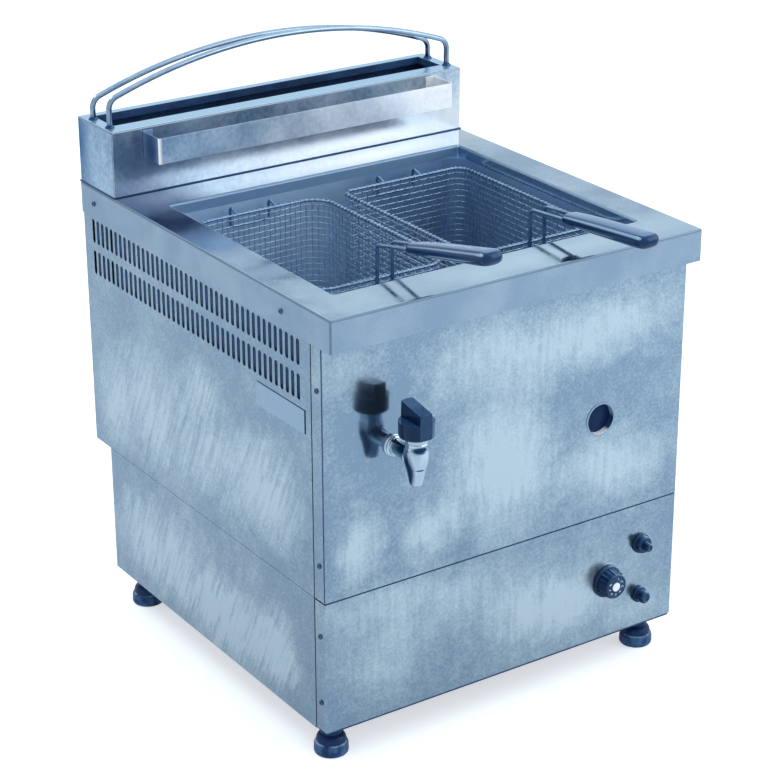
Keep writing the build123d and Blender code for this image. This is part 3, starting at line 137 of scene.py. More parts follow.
orange_peel, peel_depth = 4 * mm, 0.3 * mm
blue_gloss = (0.5, 0.7, 1, 1)
# Dark stoved paint, here a painted shade for the seams: even and low in gloss, with a faint orange peel.
seam_shade_paint = clouded("seam_shade_stoved_paint", orange_peel, 2.0, "0E2A52", "1D3F69", rough=(0.4, 0.6),
                     bump=(0.2, peel_depth), IOR=1.5, Specular_Tint=blue_gloss)
dress(seam_shade_paint, "base_tray", "post_front_left", "post_front_right", "post_back_left", "post_back_right")


# Feet: four moulded rubber feet, each with a wide pad under a dome and a ribbed neck. A bolt moulded
# into the neck goes up through the base tray.
def settle(name, smooth=35):
    """Ends the active piece: normals outwards, place put in the mesh, smooth up to an angle."""
    obj = bpy.context.object
    bpy.ops.object.mode_set(mode="EDIT")
    bpy.ops.mesh.select_all(action="SELECT")
    bpy.ops.mesh.remove_doubles(threshold=1e-6)
    bpy.ops.mesh.normals_make_consistent(inside=False)
    bpy.ops.object.mode_set(mode="OBJECT")
    bpy.ops.object.transform_apply(location=True, rotation=True, scale=True)
    bpy.ops.object.shade_smooth_by_angle(angle=radians(smooth))
    obj.name = obj.data.name = name
    return obj


def turn(foot_point, axis, rings, sides=48):
    """A turned shape: a disc at foot_point, extruded along axis and resized to each (distance, radius)."""
    axis = Vector(axis)
    first, radius = rings[0]
    bpy.ops.object.select_all(action="DESELECT")
    bpy.ops.mesh.primitive_circle_add(
        vertices=sides, radius=radius * mm, fill_type="NGON",
        location=Vector(foot_point) + axis * first * mm, rotation=axis.to_track_quat("Z", "Y").to_euler())
    bpy.ops.object.mode_set(mode="EDIT")
    across = [1 - abs(c) for c in axis]
    reached = first
    for distance, ring_radius in rings[1:]:
        bpy.ops.mesh.extrude_region_move(
            TRANSFORM_OT_translate={"value": axis * (distance - reached) * mm})
        ratio = ring_radius / radius
        bpy.ops.transform.resize(value=[1 + (ratio - 1) * c for c in across],
                                 center_override=Vector(foot_point) + axis * distance * mm)
        reached, radius = distance, ring_radius
    bpy.ops.object.mode_set(mode="OBJECT")
    return bpy.context.object


pad_top, neck_radius, rib_radius = 18.4, 14, 14.9
foot_rings = [(0, 21), (0.6, 22.6), (2, 23.6), (4, 24), (13.6, 23.6), (15.8, 22.8), (17.2, 21.6),
              (17.8, 20.6), (pad_top, 20.7), (21.6, 20.6), (24.4, 19.8), (26.8, 18.2), (28.6, 16.2),
              (29.4, 14.6), (30, neck_radius)]
for rib in (31, 37):
    foot_rings += [(rib, rib_radius), (rib + 3, rib_radius), (rib + 4, neck_radius), (rib + 5, neck_radius)]
foot_rings += [(43, rib_radius), (51.6, rib_radius)]

bloom_size, pore_size, pore_depth = 12 * mm, 1.2 * mm, 0.4 * mm
# Black rubber: matt and finely pored. The pad has a grey bloom and a pale painted highlight on its
# upward-facing upper edge, broken up by the bloom, and the dome above it is clean and dark.
moulded_rubber, tree, sockets, place = start_material("moulded_rubber", Roughness=0.4, IOR=1.42,
                                                      Specular_Tint=blue_gloss)
bloom = add(tree, "TexNoise", {"Vector": place, "Scale": 1 / bloom_size, "Detail": 4.0})
bloom = add(tree, "MapRange", {"Value": bloom, "From Min": 0.38, "From Max": 0.64})
skin = add(tree, "Mix", {0: bloom, 6: "133159", 7: "41648F"})
facing = add(tree, "NewGeometry").node.outputs["Normal"]
upward = add(tree, "SeparateXYZ", {"Vector": facing}).node.outputs["Z"]
# Painted highlight: faces of the pad that look up are painted pale where the bloom allows.
pad_painted_glint = add(tree, "MapRange", {"Value": upward, "From Min": 0.55, "From Max": 0.9, "To Max": 1.6})
pad_painted_glint = add(tree, "Math", {0: pad_painted_glint, 1: bloom}, operation="MULTIPLY")
skin = add(tree, "Mix", {0: pad_painted_glint, 6: skin, 7: "8FAAC6"})
level = add(tree, "SeparateXYZ", {"Vector": place}).node.outputs["Z"]
domed = add(tree, "Math", {0: level, 1: pad_top * mm}, operation="GREATER_THAN")
add(tree, "Mix", {0: domed, 6: skin, 7: "0B2750"}, sockets["Base Color"])
pores = add(tree, "TexNoise", {"Vector": place, "Scale": 1 / pore_size, "Detail": 2.0})
add(tree, "Bump", {"Height": pores, "Strength": 0.35, "Distance": pore_depth}, sockets["Normal"])

for end in ("front", "back"):
    for side in ("left", "right"):
        node = f"foot_{end}_{side}"
        low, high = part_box(node)
        turn(((low.x + high.x) / 2, (low.y + high.y) / 2, low.z), (0, 0, 1), foot_rings)
        foot = settle(f"rubber_{node}", smooth=50)
        foot.data.materials.append(moulded_rubber)
        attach(foot, "cabinet")
        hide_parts(node)


# Side and front panels: folded stainless sheet. The front panels' returns screw to the posts, and the
# upper sides carry two rows of vent slots. Wiping has left pale dull patches, drawn down in strokes,
# over a smooth, darker ground that still mirrors what stands in front of it.
stroke_width, stroke_length = 7 * mm, 70 * mm
mottle_size, blotch_size, cloud_size = 3.4 * mm, 22 * mm, 130 * mm
patch_ripple, patch_wander = 45 * mm, 60 * mm
patch_gain = 1.12
clean_mark, dull_mark = -0.06, 0.75
endless = 9999


def spot(tree, place, centre, radii):
    """A round fade from 1 at its centre to 0 at its radii, both in millimetres."""
    near = add(tree, "Mapping", {"Vector": place, "Location": [c * mm for c in centre],
                                 "Scale": [r * mm for r in radii]}, vector_type="TEXTURE")
    return add(tree, "TexGradient", {"Vector": near}, gradient_type="SPHERICAL")


def wiped_sheet(name, lean, least, patches):
    """Wiped sheet steel: strokes lean by an angle and thin out to least, in patches of given strength."""
    material, tree, sockets, place = start_material(name, Metallic=0.95)
    ripple = add(tree, "TexNoise", {"Vector": place, "Scale": 1 / patch_ripple, "Detail": 4.0})
    wander = add(tree, "VectorMath", {0: ripple.node.outputs["Color"], 1: [patch_wander] * 3,
                                      2: place}, operation="MULTIPLY_ADD")
    wiped = 0.0
    for centre, radii, strength in patches:
        patch = spot(tree, wander, [c + patch_wander / 2 / mm for c in centre], radii)
        wiped = add(tree, "Math", {0: patch, 1: patch_gain * strength, 2: wiped}, operation="MULTIPLY_ADD")
    leaning = add(tree, "Mapping", {"Vector": place, "Rotation": (lean, 0, 0)})
    drawn = add(tree, "Mapping", {"Vector": leaning, "Scale": (1, 1, stroke_width / stroke_length)})
    strokes = add(tree, "TexNoise", {"Vector": drawn, "Scale": 1 / stroke_width, "Detail": 3.0})
    mottle = add(tree, "TexNoise", {"Vector": place, "Scale": 1 / mottle_size, "Detail": 3.0})
    clouds = add(tree, "TexNoise", {"Vector": place, "Scale": 1 / cloud_size, "Detail": 4.0})
    blotches = add(tree, "TexNoise", {"Vector": place, "Scale": 1 / blotch_size, "Detail": 4.0})
    gain = add(tree, "MapRange", {"Value": strokes, "From Min": 0.33, "From Max": 0.67,
                                  "To Min": least, "To Max": 1.0})
    grained = add(tree, "Math", {0: mottle, 1: 0.8, 2: -0.85}, operation="MULTIPLY_ADD")
    blotched = add(tree, "Math", {0: blotches, 1: 0.4, 2: grained}, operation="MULTIPLY_ADD")
    misted = add(tree, "Math", {0: clouds, 1: 0.55, 2: blotched}, operation="MULTIPLY_ADD")
    marked = add(tree, "Math", {0: wiped, 1: gain, 2: misted}, operation="MULTIPLY_ADD")
    dull = add(tree, "MapRange", {"Value": marked, "From Min": clean_mark, "From Max": dull_mark})
    ramp = add(tree, "ValToRGB", {"Fac": dull}, sockets["Base Color"]).node.color_ramp
    ramp.elements[0].color = linear("7B92A6")
    ramp.elements[1].color = linear("B7C8D2")
    ramp.elements.new(0.4).color = linear("97ABB9")
    even = add(tree, "Math", {0: clouds, 1: 0.55, 2: -0.25}, operation="MULTIPLY_ADD")
    even = add(tree, "Math", {0: wiped, 1: gain, 2: even}, operation="MULTIPLY_ADD")
    add(tree, "MapRange", {"Value": even, "From Min": clean_mark, "From Max": dull_mark,
                           "To Min": 0.1, "To Max": 0.42}, sockets["Roughness"])
    return material


# Wiped stainless: a grey-blue mirror that goes pale and dull in each patch. The front's strokes run
# straight down, and the sides' lean. A patch has its place, its half sizes and its strength. The front's
# patch of negative strength keeps the sheet near the tap at its darker ground: in part a painted reflection.
front_patches = [((x, 0, z), (wide, endless, high), strength) for x, z, wide, high, strength in (
    (-14, 375, 115, 140, 1.2), (55, 525, 200, 70, 0.7), (-244, 315, 48, 68, 1.0), (-124, 310, 55, 62, 0.9),
    (185, 325, 135, 62, 0.75), (-254, 565, 75, 60, 0.5), (-184, 225, 190, 40, 0.6), (76, 140, 135, 62, 0.85),
    (-214, 140, 90, 90, 0.5), (236, 80, 90, 50, 0.4), (190, 540, 170, 75, 0.55), (-60, 545, 120, 60, 0.4),
    (-80, 190, 150, 50, 0.4), (-215, 480, 75, 110, -0.5), (60, 120, 330, 130, 0.35),
    (120, 330, 200, 120, 0.2))]
side_patches = [((0, y, z), (endless, long, high), strength) for y, z, long, high, strength in (
    (180, 360, 195, 120, 0.95), (-125, 365, 105, 98, 1.2), (50, 450, 68, 53, 0.9), (0, 360, 135, 105, 0.75),
    (210, 140, 135, 90, 1.0), (-10, 110, 210, 75, 1.05), (-140, 130, 60, 75, 0.9), (319, 330, 60, 90, 0.65),
    (60, 130, 330, 140, 0.4))]
wiped_front = wiped_sheet("stainless_front_wiped", 0.0, 0.6, front_patches)
dress(wiped_front, "upper_front_panel", "lower_front_panel")
wiped_side = wiped_sheet("stainless_side_wiped", radians(-25), 0.25, side_patches)
dress(wiped_side, "left_upper_panel", "right_upper_panel", "left_lower_panel", "right_lower_panel")


# Vent shade sheets: a primed steel sheet hung a little behind each upper side panel's slots. It is a
# painted shade: a sheet put where there is only shade, so that the slots show navy.
def modify(kind, **settings):
    """Adds a modifier to the active object and applies it."""
    made = bpy.context.object.modifiers.new(kind.title(), kind)
    for key, value in settings.items():
        setattr(made, key, value)
    bpy.ops.object.modifier_apply(modifier=made.name)


def cut_sheet(centre, size, edge):
    """A flat piece cut from sheet: a cube at its size and place, with its edges rounded."""
    bpy.ops.object.select_all(action="DESELECT")
    bpy.ops.mesh.primitive_cube_add(size=1, location=centre, scale=size)
    bpy.ops.object.transform_apply(location=True, rotation=True, scale=True)
    modify("BEVEL", width=edge * mm, segments=2)


shade_sheet_gap, shade_sheet_thick, shade_sheet_edge = 6.0, 1.0, 0.3
shade_sheet_drop, shade_sheet_height, shade_sheet_short = 72.0, 130.0, 56.0
primer_speck = 3 * mm
# Blue-grey primer: flat, with fine specks of dust, the colour of the painted shade behind the vents.
grey_primer = clouded("blue_grey_primer", primer_speck, 3.0, "365A88", "52779F", Roughness=0.7, IOR=1.4)
for side, outward in (("left", -1), ("right", 1)):
    low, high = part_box(f"{side}_upper_panel")
    face_x = low.x if outward < 0 else high.x
    cut_sheet((face_x - outward * shade_sheet_gap * mm, (low.y + high.y) / 2, high.z - shade_sheet_drop * mm),
              (shade_sheet_thick * mm, high.y - low.y - shade_sheet_short * mm, shade_sheet_height * mm), shade_sheet_edge)
    shade_sheet = settle(f"vent_shade_sheet_{side}")
    shade_sheet.data.materials.append(grey_primer)
    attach(shade_sheet, "cabinet")


# Panel beads: silicone sealant squeezed in along the folds of the upper front panel, where its returns
# turn to the sides, and into the joint between the upper and the lower panels.
dust_size = 7 * mm
# Silicone sealant: dark and rubbery, dulled by dust.
sealant = clouded("dark_silicone_sealant", dust_size, 4.0, "0E2748", "3A5A7E", Roughness=0.5, IOR=1.4,
                  Specular_Tint=blue_gloss)
bead_tip = 0.2
fold_radius, fold_gap, fold_taper, fold_in = 0.8, 1.0, 0.6, 0.35
front_radius, front_end, front_deep = 1.1, 1.4, 1.35
side_radius, side_deep = 0.5, 0.7
seam_gap, seam_taper = 0.5, 0.5

low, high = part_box("upper_front_panel")
beads = [(f"corner_bead_upper_{side}", (edge_x + inward * fold_in * mm, low.y + back * mm, low.z),
          (0, 0, 1), high.z - low.z, fold_radius, fold_gap, fold_taper)
         for side, inward, edge_x, back in (("left", 1, low.x, 0.95), ("right", -1, high.x, 3.2))]
front_low, front_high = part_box("lower_front_panel")
seam_z = (low.z + front_high.z) / 2
beads.append(("seam_bead_front", (front_low.x + front_end * mm, front_low.y + front_deep * mm, seam_z),
              (1, 0, 0), front_high.x - front_low.x - 2 * front_end * mm, front_radius, seam_gap, seam_taper))
for side, inward in (("left", 1), ("right", -1)):
    low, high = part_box(f"{side}_lower_panel")
    face_x = low.x if inward > 0 else high.x
    beads.append((f"seam_bead_{side}", (face_x + inward * side_deep * mm, low.y, seam_z), (0, 1, 0),
                  high.y - low.y, side_radius, seam_gap, seam_taper))
for name, start, way, length, radius, gap, taper in beads:
    end = length / mm - gap
    bead_rings = [(gap, bead_tip), (gap + taper, radius), (end - taper, radius), (end, bead_tip)]
    turn(start, way, bead_rings, sides=12)
    bead = settle(name, smooth=60)
    bead.data.materials.append(sealant)
    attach(bead, "cabinet")


# Rating plate: a bare aluminium plate pressed on a dark rubber strip, which shows as a thin line along
# its top and front edges as a painted shadow of the plate. Both sit on the left side panel.
shadow_strip_over, shadow_strip_front, shadow_strip_thick = 1.5, 3.0, 0.45
shadow_strip_short_y, shadow_strip_short_z, shadow_strip_edge = 2.0, 1.0, 0.15
low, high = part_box("rating_plate")
panel_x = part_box("left_upper_panel")[0].x
cut_sheet((panel_x - shadow_strip_thick / 2 * mm, (low.y + high.y - shadow_strip_front * mm) / 2,
           (low.z + high.z + shadow_strip_over * mm) / 2),
          (shadow_strip_thick * mm, high.y - low.y + (shadow_strip_front - shadow_strip_short_y) * mm,
           high.z - low.z + (shadow_strip_over - shadow_strip_short_z) * mm), shadow_strip_edge)
shadow_strip = settle("rating_plate_shadow_strip")
shadow_strip.data.materials.append(moulded_rubber)
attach(shadow_strip, "cabinet")

plate_grain = 2.2 * mm
# Satin aluminium: even and fine-grained, a little paler than the sheet round it.
satin_plate = clouded("satin_aluminium_plate", plate_grain, 3.0, "7C96AE", "A3B9CA", rough=(0.25, 0.42),
                      Metallic=1.0)
dress(satin_plate, "rating_plate")


# Firebox, flue duct and burners: plain folded and welded steel that works in the flame. Heat has tinted
# it in blue and grey bands.
heat_band = 60 * mm
# Heat-tinted steel: blue-black to grey scale, rougher where it is darkest.
heated_steel, tree, sockets, place = start_material("heat_tinted_steel", Metallic=0.6)
heat = add(tree, "TexNoise", {"Vector": place, "Scale": 1 / heat_band, "Detail": 4.0})
tints = add(tree, "ValToRGB", {"Fac": heat}, sockets["Base Color"]).node.color_ramp.elements
tints[0].position, tints[0].color = 0.35, linear("2C4668")
tints[1].position, tints[1].color = 0.65, linear("7C97B2")
tints.new(0.5).color = linear("587291")
add(tree, "MapRange", {"Value": heat, "To Min": 0.6, "To Max": 0.4}, sockets["Roughness"])
dress(heated_steel, "firebox", "flue_duct", "burner_left", "burner_right", "pilot_burner")


# Gas train: a die-cast valve, steel pipes, brass injectors, and the thin leads of the thermocouple
# and of the thermostat. They screw together behind the lower front panel.
cast_grain, pit_depth = 1.8 * mm, 0.3 * mm
# Die-cast alloy: grey and finely pitted.
cast_alloy = clouded("die_cast_alloy", cast_grain, 3.0, "7C8FA2", "A7B8C6", rough=(0.42, 0.6),
                     bump=(0.4, pit_depth), Metallic=1.0)
dress(cast_alloy, "gas_valve", "gas_manifold", "gas_riser", "valve_spindle")

tarnish_size = 8 * mm
lathe_pitch, lathe_depth = 5.655 * mm, 0.2 * mm
# Turned brass: lathe lines under a brown tarnish. The lines are drawn several times as coarse as real
# ones, to show. A wave node of scale 1 repeats every pi / 10.
turned_brass, tree, sockets, place = start_material("turned_brass", Metallic=1.0, Roughness=0.28)
tarnish = add(tree, "TexNoise", {"Vector": place, "Scale": 1 / tarnish_size, "Detail": 3.0})
add(tree, "Mix", {0: tarnish, 6: "8C7A4C", 7: "C9B57A"}, sockets["Base Color"])
lathe = add(tree, "TexWave", {"Vector": place, "Scale": pi / 10 / lathe_pitch, "Distortion": 0.6},
            bands_direction="Y").node.outputs["Fac"]
add(tree, "Bump", {"Height": lathe, "Strength": 0.15, "Distance": lathe_depth}, sockets["Normal"])
dress(turned_brass, "gas_injectors", "thermocouple", "thermostat_bulb")

soot_blot = 6 * mm
# Glazed ceramic: white and shiny, with a little soot.
glazed_ceramic = clouded("glazed_ceramic", soot_blot, 3.0, "C4D2DD", "F4F7F9", Roughness=0.2, IOR=1.52)
dress(glazed_ceramic, "spark_electrode")


# Gas inlet: the end of the steel supply pipe, with a cut thread for the hose. It leaves the base through
# the lower back panel.
inlet_low, inlet_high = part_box("gas_inlet_pipe")
inlet_x, inlet_z = (inlet_low.x + inlet_high.x) / 2, (inlet_low.z + inlet_high.z) / 2
inlet_length = (inlet_high.y - inlet_low.y) / mm
pipe_radius, bore_radius, bore_depth = 9.0, 7.0, 60
thread_pitch, thread_length, root_radius, crest_radius = 1.8, 23.0, 9.15, 10.4
inlet_rings = [(0, pipe_radius), (inlet_length - thread_length - 1, pipe_radius)]
for count in range(int(thread_length // thread_pitch)):
    root = inlet_length - thread_length + count * thread_pitch
    inlet_rings += [(root, root_radius), (root + 0.7, crest_radius), (root + 1.1, crest_radius)]
inlet_rings += [(inlet_length - 0.4, 9.2), (inlet_length, 8.8), (inlet_length, bore_radius),
                (inlet_length - bore_depth, bore_radius)]
turn((inlet_x, inlet_low.y, inlet_z), (0, 1, 0), inlet_rings)
inlet = settle("gas_inlet_threaded", smooth=25)

oil_film = 9 * mm
# Bare pipe steel: mill grey under a film of thread oil.
pipe_steel = clouded("bare_pipe_steel", oil_film, 4.0, "5E7388", "97ABBC", rough=(0.28, 0.5), Metallic=1.0)
inlet.data.materials.append(pipe_steel)
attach(inlet, "cabinet")
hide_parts("gas_inlet_pipe")


# Fry tank and rack: one deep pressed tub of stainless steel, hung under the worktop lip, with a
# slotted plate on two legs that keeps the baskets off its floor. Hot fat has dulled the steel.
fat_film = 70 * mm
clear_x, darker_x = -100 * mm, 140 * mm
fat_line, clean_line = 560 * mm, 605 * mm
# Tank steel: pale and satin under cloudy films of fat, darker to the right, smooth above the fat.
tank_steel, tree, sockets, place = start_material("stainless_tank", Metallic=0.5)
film = add(tree, "TexNoise", {"Vector": place, "Scale": 1 / fat_film, "Detail": 4.0})
clear = add(tree, "Mix", {0: film, 6: "9CBCDD", 7: "C4DDF2"})
darker_tone = add(tree, "Mix", {0: film, 6: "6C90B8", 7: "93B4D6"})
axes = add(tree, "SeparateXYZ", {"Vector": place}).node.outputs
darkening = add(tree, "MapRange", {"Value": axes["X"], "From Min": clear_x, "From Max": darker_x})
add(tree, "Mix", {0: darkening, 6: clear, 7: darker_tone}, sockets["Base Color"])
filmed = add(tree, "MapRange", {"Value": film, "To Min": 0.4, "To Max": 0.6})
add(tree, "MapRange", {"Value": axes["Z"], "From Min": fat_line, "From Max": clean_line,
                       "To Min": filmed, "To Max": 0.26}, sockets["Roughness"])
dress(tank_steel, "fry_tank", "basket_rack", "drain_pipe")


# Worktop: one folded stainless sheet with a skirt all round, screwed to the cabinet, and a lip turned
# down into the tank. The top is polished, the skirt is satin, and the folds are dull.
def stain(tree, place, colour, spots):
    """Lays soft-edged spots of painted light and shade over a colour; each is a centre, radii, a hex colour
    and a strength.
    """
    for centre, radii, code, strength in spots:
        fade = spot(tree, place, centre, radii)
        fade = add(tree, "MapRange", {"Value": fade, "To Max": strength})
        colour = add(tree, "Mix", {0: fade, 6: colour, 7: code})
    return colour


def box_shares(tree, place, centre, half):
    """How far a place lies from a box's centre towards its faces, along each axis; over 1 is outside."""
    near = add(tree, "Mapping", {"Vector": place, "Location": centre, "Scale": half}, vector_type="TEXTURE")
    near = add(tree, "VectorMath", {0: near}, operation="ABSOLUTE")
    return add(tree, "SeparateXYZ", {"Vector": near}).node.outputs


smear_size = 90 * mm
well_half, well_front, well_back = 247.4 * mm, -207.4 * mm, 213.4 * mm
skirt_drop, corner_fold = 2.5 * mm, 2.2 * mm
fold_drop, fold_half = 1.9 * mm, 1.75 * mm
# Painted reflections on the top: each is a centre, radii, a hex colour and a strength.
worktop_painted_reflections = [((-285, 235, 656), (130, 270, 999), "2A4A72", 1.85),
                  ((60, -243, 656), (420, 70, 999), "BCD5E4", 1.0),
                  ((90, 247, 656), (380, 60, 999), "D0D2D4", 0.85)]
worktop_low, worktop_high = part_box("worktop")
worktop_z = worktop_high.z
# Polished stainless: a mirror with a few smears, with a dark painted reflection in the back left corner
# and pale painted reflections along the front and back. The lip is dull at the front and back, and shines
# on its two sides.
polished_steel, tree, sockets, place = start_material("stainless_worktop_polished", Metallic=1.0)
smears = add(tree, "TexNoise", {"Vector": place, "Scale": 1 / smear_size, "Detail": 4.0})
specks = add(tree, "TexNoise", {"Vector": place, "Scale": 1 / mottle_size, "Detail": 3.0})
smeared = add(tree, "Math", {0: specks, 1: 0.25, 2: smears}, operation="MULTIPLY_ADD")
smeared = add(tree, "MapRange", {"Value": smeared, "From Min": 0.5, "From Max": 0.8},
              interpolation_type="SMOOTHSTEP")
top = add(tree, "Mix", {0: smeared, 6: "88A3BC", 7: "A9C0D2"})
top = stain(tree, place, top, worktop_painted_reflections)
skirt = add(tree, "Mix", {0: smeared, 6: "859BB0", 7: "95A9BA"})
level = add(tree, "SeparateXYZ", {"Vector": place}).node.outputs["Z"]
hanging = add(tree, "Math", {0: level, 1: worktop_z - skirt_drop}, operation="LESS_THAN")
sheet = add(tree, "Mix", {0: hanging, 6: top, 7: skirt})
shine = add(tree, "MapRange", {"Value": smeared, "To Min": 0.06, "To Max": 0.2})
shine = add(tree, "MapRange", {"Value": hanging, "To Min": shine, "To Max": 0.34})

rim = box_shares(tree, place, (0, (worktop_low.y + worktop_high.y) / 2, 0),
                 (worktop_high.x - corner_fold, (worktop_high.y - worktop_low.y) / 2 - corner_fold, endless))
corner = add(tree, "Math", {0: rim["X"], 1: rim["Y"]}, operation="MINIMUM")
corner = add(tree, "Math", {0: corner, 1: 1.0}, operation="GREATER_THAN")
fold = add(tree, "Math", {0: level, 1: worktop_z - fold_drop, 2: fold_half}, operation="COMPARE")
fold = add(tree, "Math", {0: fold, 1: corner}, operation="MAXIMUM")
sheet = add(tree, "Mix", {0: fold, 6: sheet, 7: "74889B"})
shine = add(tree, "MapRange", {"Value": fold, "To Min": shine, "To Max": 0.5})

well = box_shares(tree, place, (0, (well_front + well_back) / 2, 0),
                  (well_half, (well_back - well_front) / 2, endless))
lip = add(tree, "Math", {0: well["X"], 1: well["Y"]}, operation="MAXIMUM")
lip = add(tree, "Math", {0: lip, 1: 1.0}, operation="LESS_THAN")
lip_side = add(tree, "Math", {0: well["X"], 1: well["Y"]}, operation="GREATER_THAN")
lipped = add(tree, "Mix", {0: lip_side, 6: "86A6C4", 7: "B4CBDD"})
add(tree, "Mix", {0: lip, 6: sheet, 7: lipped}, sockets["Base Color"])
lip_shine = add(tree, "MapRange", {"Value": lip_side, "To Min": 0.5, "To Max": 0.16})
add(tree, "MapRange", {"Value": lip, "To Min": shine, "To Max": lip_shine}, sockets["Roughness"])
dress(polished_steel, "worktop")


# Flue box and hanger rail: folded stainless sheet. The box stands on the worktop's back edge in a bead
# of dark sealant, and the rail's tabs are spot-welded to its front.
satin_mottle, satin_cloud = 6 * mm, 80 * mm


def satin_tone(tree, place, least, most):
    """The cloudy tone of satin sheet, from 0 to 1: a fine grain over a slow haze."""
    grain = add(tree, "TexNoise", {"Vector": place, "Scale": 1 / satin_mottle, "Detail": 4.0})
    haze = add(tree, "TexNoise", {"Vector": place, "Scale": 1 / satin_cloud, "Detail": 3.0})
    hazed = add(tree, "Math", {0: grain, 1: 0.5, 2: haze}, operation="MULTIPLY_ADD")
    return add(tree, "MapRange", {"Value": hazed, "From Min": least, "From Max": most})


flue_low, flue_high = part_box("flue_box")
flue_y = (flue_low.y + flue_high.y) / 2
skin_depth, wall, soot_gap = 0.4 * mm, 0.6 * mm, 0.5 * mm
rim_fold, rim_fold_half = 1.6 * mm, 1.2 * mm
flue_painted_reflections = [((-290, 280, 705), (190, 20, 75), "4B6C97", 0.45),
               ((150, 280, 672), (390, 20, 62), "DCDDDE", 0.95)]
flue_end_painted_shade = [((-302, 384, 715), (20, 46, 80), "3B5A84", 1.2)]
# Satin stainless: hazy and mottled, with a pale rim and dull folds. Its left end is painted darker as
# painted shade, darkest towards the back, and the front has a dark painted reflection at its left and a
# pale painted highlight low on its right. The inside is sooted navy, which has no metal in it.
satin_steel, tree, sockets, place = start_material("stainless_flue_satin", Specular_Tint=(0.5, 0.75, 1, 1))
tone = satin_tone(tree, place, 0.5, 1.0)
axes = add(tree, "SeparateXYZ", {"Vector": place}).node.outputs
front = add(tree, "Mix", {0: tone, 6: "6F8AA6", 7: "CBD8E1"})
front = stain(tree, place, front, flue_painted_reflections)
end = add(tree, "Mix", {0: tone, 6: "5C7895", 7: "B9CAD6"})
end = stain(tree, place, end, flue_end_painted_shade)
at_end = add(tree, "Math", {0: axes["X"], 1: flue_low.x + skin_depth}, operation="LESS_THAN")
sheet = add(tree, "Mix", {0: at_end, 6: front, 7: end})
rim = add(tree, "Math", {0: axes["Z"], 1: flue_high.z - skin_depth}, operation="GREATER_THAN")
sheet = add(tree, "Mix", {0: rim, 6: sheet, 7: "C6D6DF"})
fold = add(tree, "Math", {0: axes["Z"], 1: flue_high.z - rim_fold, 2: rim_fold_half}, operation="COMPARE")
sheet = add(tree, "Mix", {0: fold, 6: sheet, 7: "90A4B4"})
sheen = add(tree, "MapRange", {"Value": tone, "To Min": 0.14, "To Max": 0.26})
sheen = add(tree, "MapRange", {"Value": fold, "To Min": sheen, "To Max": 0.5})
inner = box_shares(tree, place, (0, flue_y, flue_low.z),
                   (flue_high.x - wall, (flue_high.y - flue_low.y) / 2 - wall,
                    flue_high.z - flue_low.z - soot_gap))
soot = add(tree, "Math", {0: inner["X"], 1: inner["Y"]}, operation="MAXIMUM")
soot = add(tree, "Math", {0: soot, 1: inner["Z"]}, operation="MAXIMUM")
soot = add(tree, "Math", {0: soot, 1: 1.0}, operation="LESS_THAN")
black = add(tree, "Mix", {0: tone, 6: "0D2245", 7: "2B4D7C"})
add(tree, "Mix", {0: soot, 6: sheet, 7: black}, sockets["Base Color"])
add(tree, "MapRange", {"Value": soot, "To Min": sheen, "To Max": 0.6}, sockets["Roughness"])
add(tree, "MapRange", {"Value": soot, "To Min": 0.8, "To Max": 0.0}, sockets["Metallic"])
dress(satin_steel, "flue_box")

rail_reflection_x, bright_x = -200 * mm, 250 * mm
rail_painted_light_spots = [((-252, 256, 728), (6, 34, 60), "2E4E7A", 1.6), ((-250, 232, 728), (5, 4, 999), "FFFFFF", 3.0)]
# Dull stainless: a painted reflection, blue to the left, turning to a nearly white painted highlight to
# the right, with a dark painted reflection on the left end plate and a white painted highlight on its fold.
rail_steel, tree, sockets, place = start_material("stainless_rail_dull", Metallic=0.55)
tone = satin_tone(tree, place, 0.55, 0.95)
rail_painted_reflection = add(tree, "Mix", {0: tone, 6: "7A9DC0", 7: "BCD5E8"})
bright = add(tree, "Mix", {0: tone, 6: "E4E8EA", 7: "FDFDFC"})
along = add(tree, "SeparateXYZ", {"Vector": place}).node.outputs["X"]
along = add(tree, "MapRange", {"Value": along, "From Min": rail_reflection_x, "From Max": bright_x})
face = add(tree, "Mix", {0: along, 6: rail_painted_reflection, 7: bright})
tree.links.new(stain(tree, place, face, rail_painted_light_spots), sockets["Base Color"])
add(tree, "MapRange", {"Value": tone, "To Min": 0.28, "To Max": 0.42}, sockets["Roughness"])
dress(rail_steel, "hanger_rail")

bead_radius, bead_out, bead_up = 1.3, 0.6, 0.4
bead_place = Vector((0, flue_y, worktop_z + bead_up * mm))
bpy.ops.object.select_all(action="DESELECT")
bpy.ops.mesh.primitive_plane_add(size=1, location=bead_place)
bpy.ops.object.mode_set(mode="EDIT")
bpy.ops.transform.resize(value=(flue_high.x - flue_low.x + bead_out * mm,
                                flue_high.y - flue_low.y + bead_out * mm, 1), center_override=bead_place)
bpy.ops.mesh.delete(type="ONLY_FACE")
bpy.ops.object.mode_set(mode="OBJECT")
bpy.ops.object.convert(target="CURVE")
bpy.context.object.data.bevel_depth = bead_radius * mm
bpy.context.object.data.bevel_resolution = 2
bpy.ops.object.convert(target="MESH")
bead = settle("flue_foot_bead", smooth=60)
bead.data.materials.append(sealant)
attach(bead, "cabinet")


# Sight port: a turned stainless sleeve with a thin flange, pressed into the upper front panel, with a
# window of sooty mica at its inner end. The bore carries a white painted highlight along its lower edge.
port_low, port_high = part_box("sight_port")
port_x, port_z = (port_low.x + port_high.x) / 2, (port_low.z + port_high.z) / 2
glass_radius = 22.3
ring_size = 2 * mm
flatten = 1e6
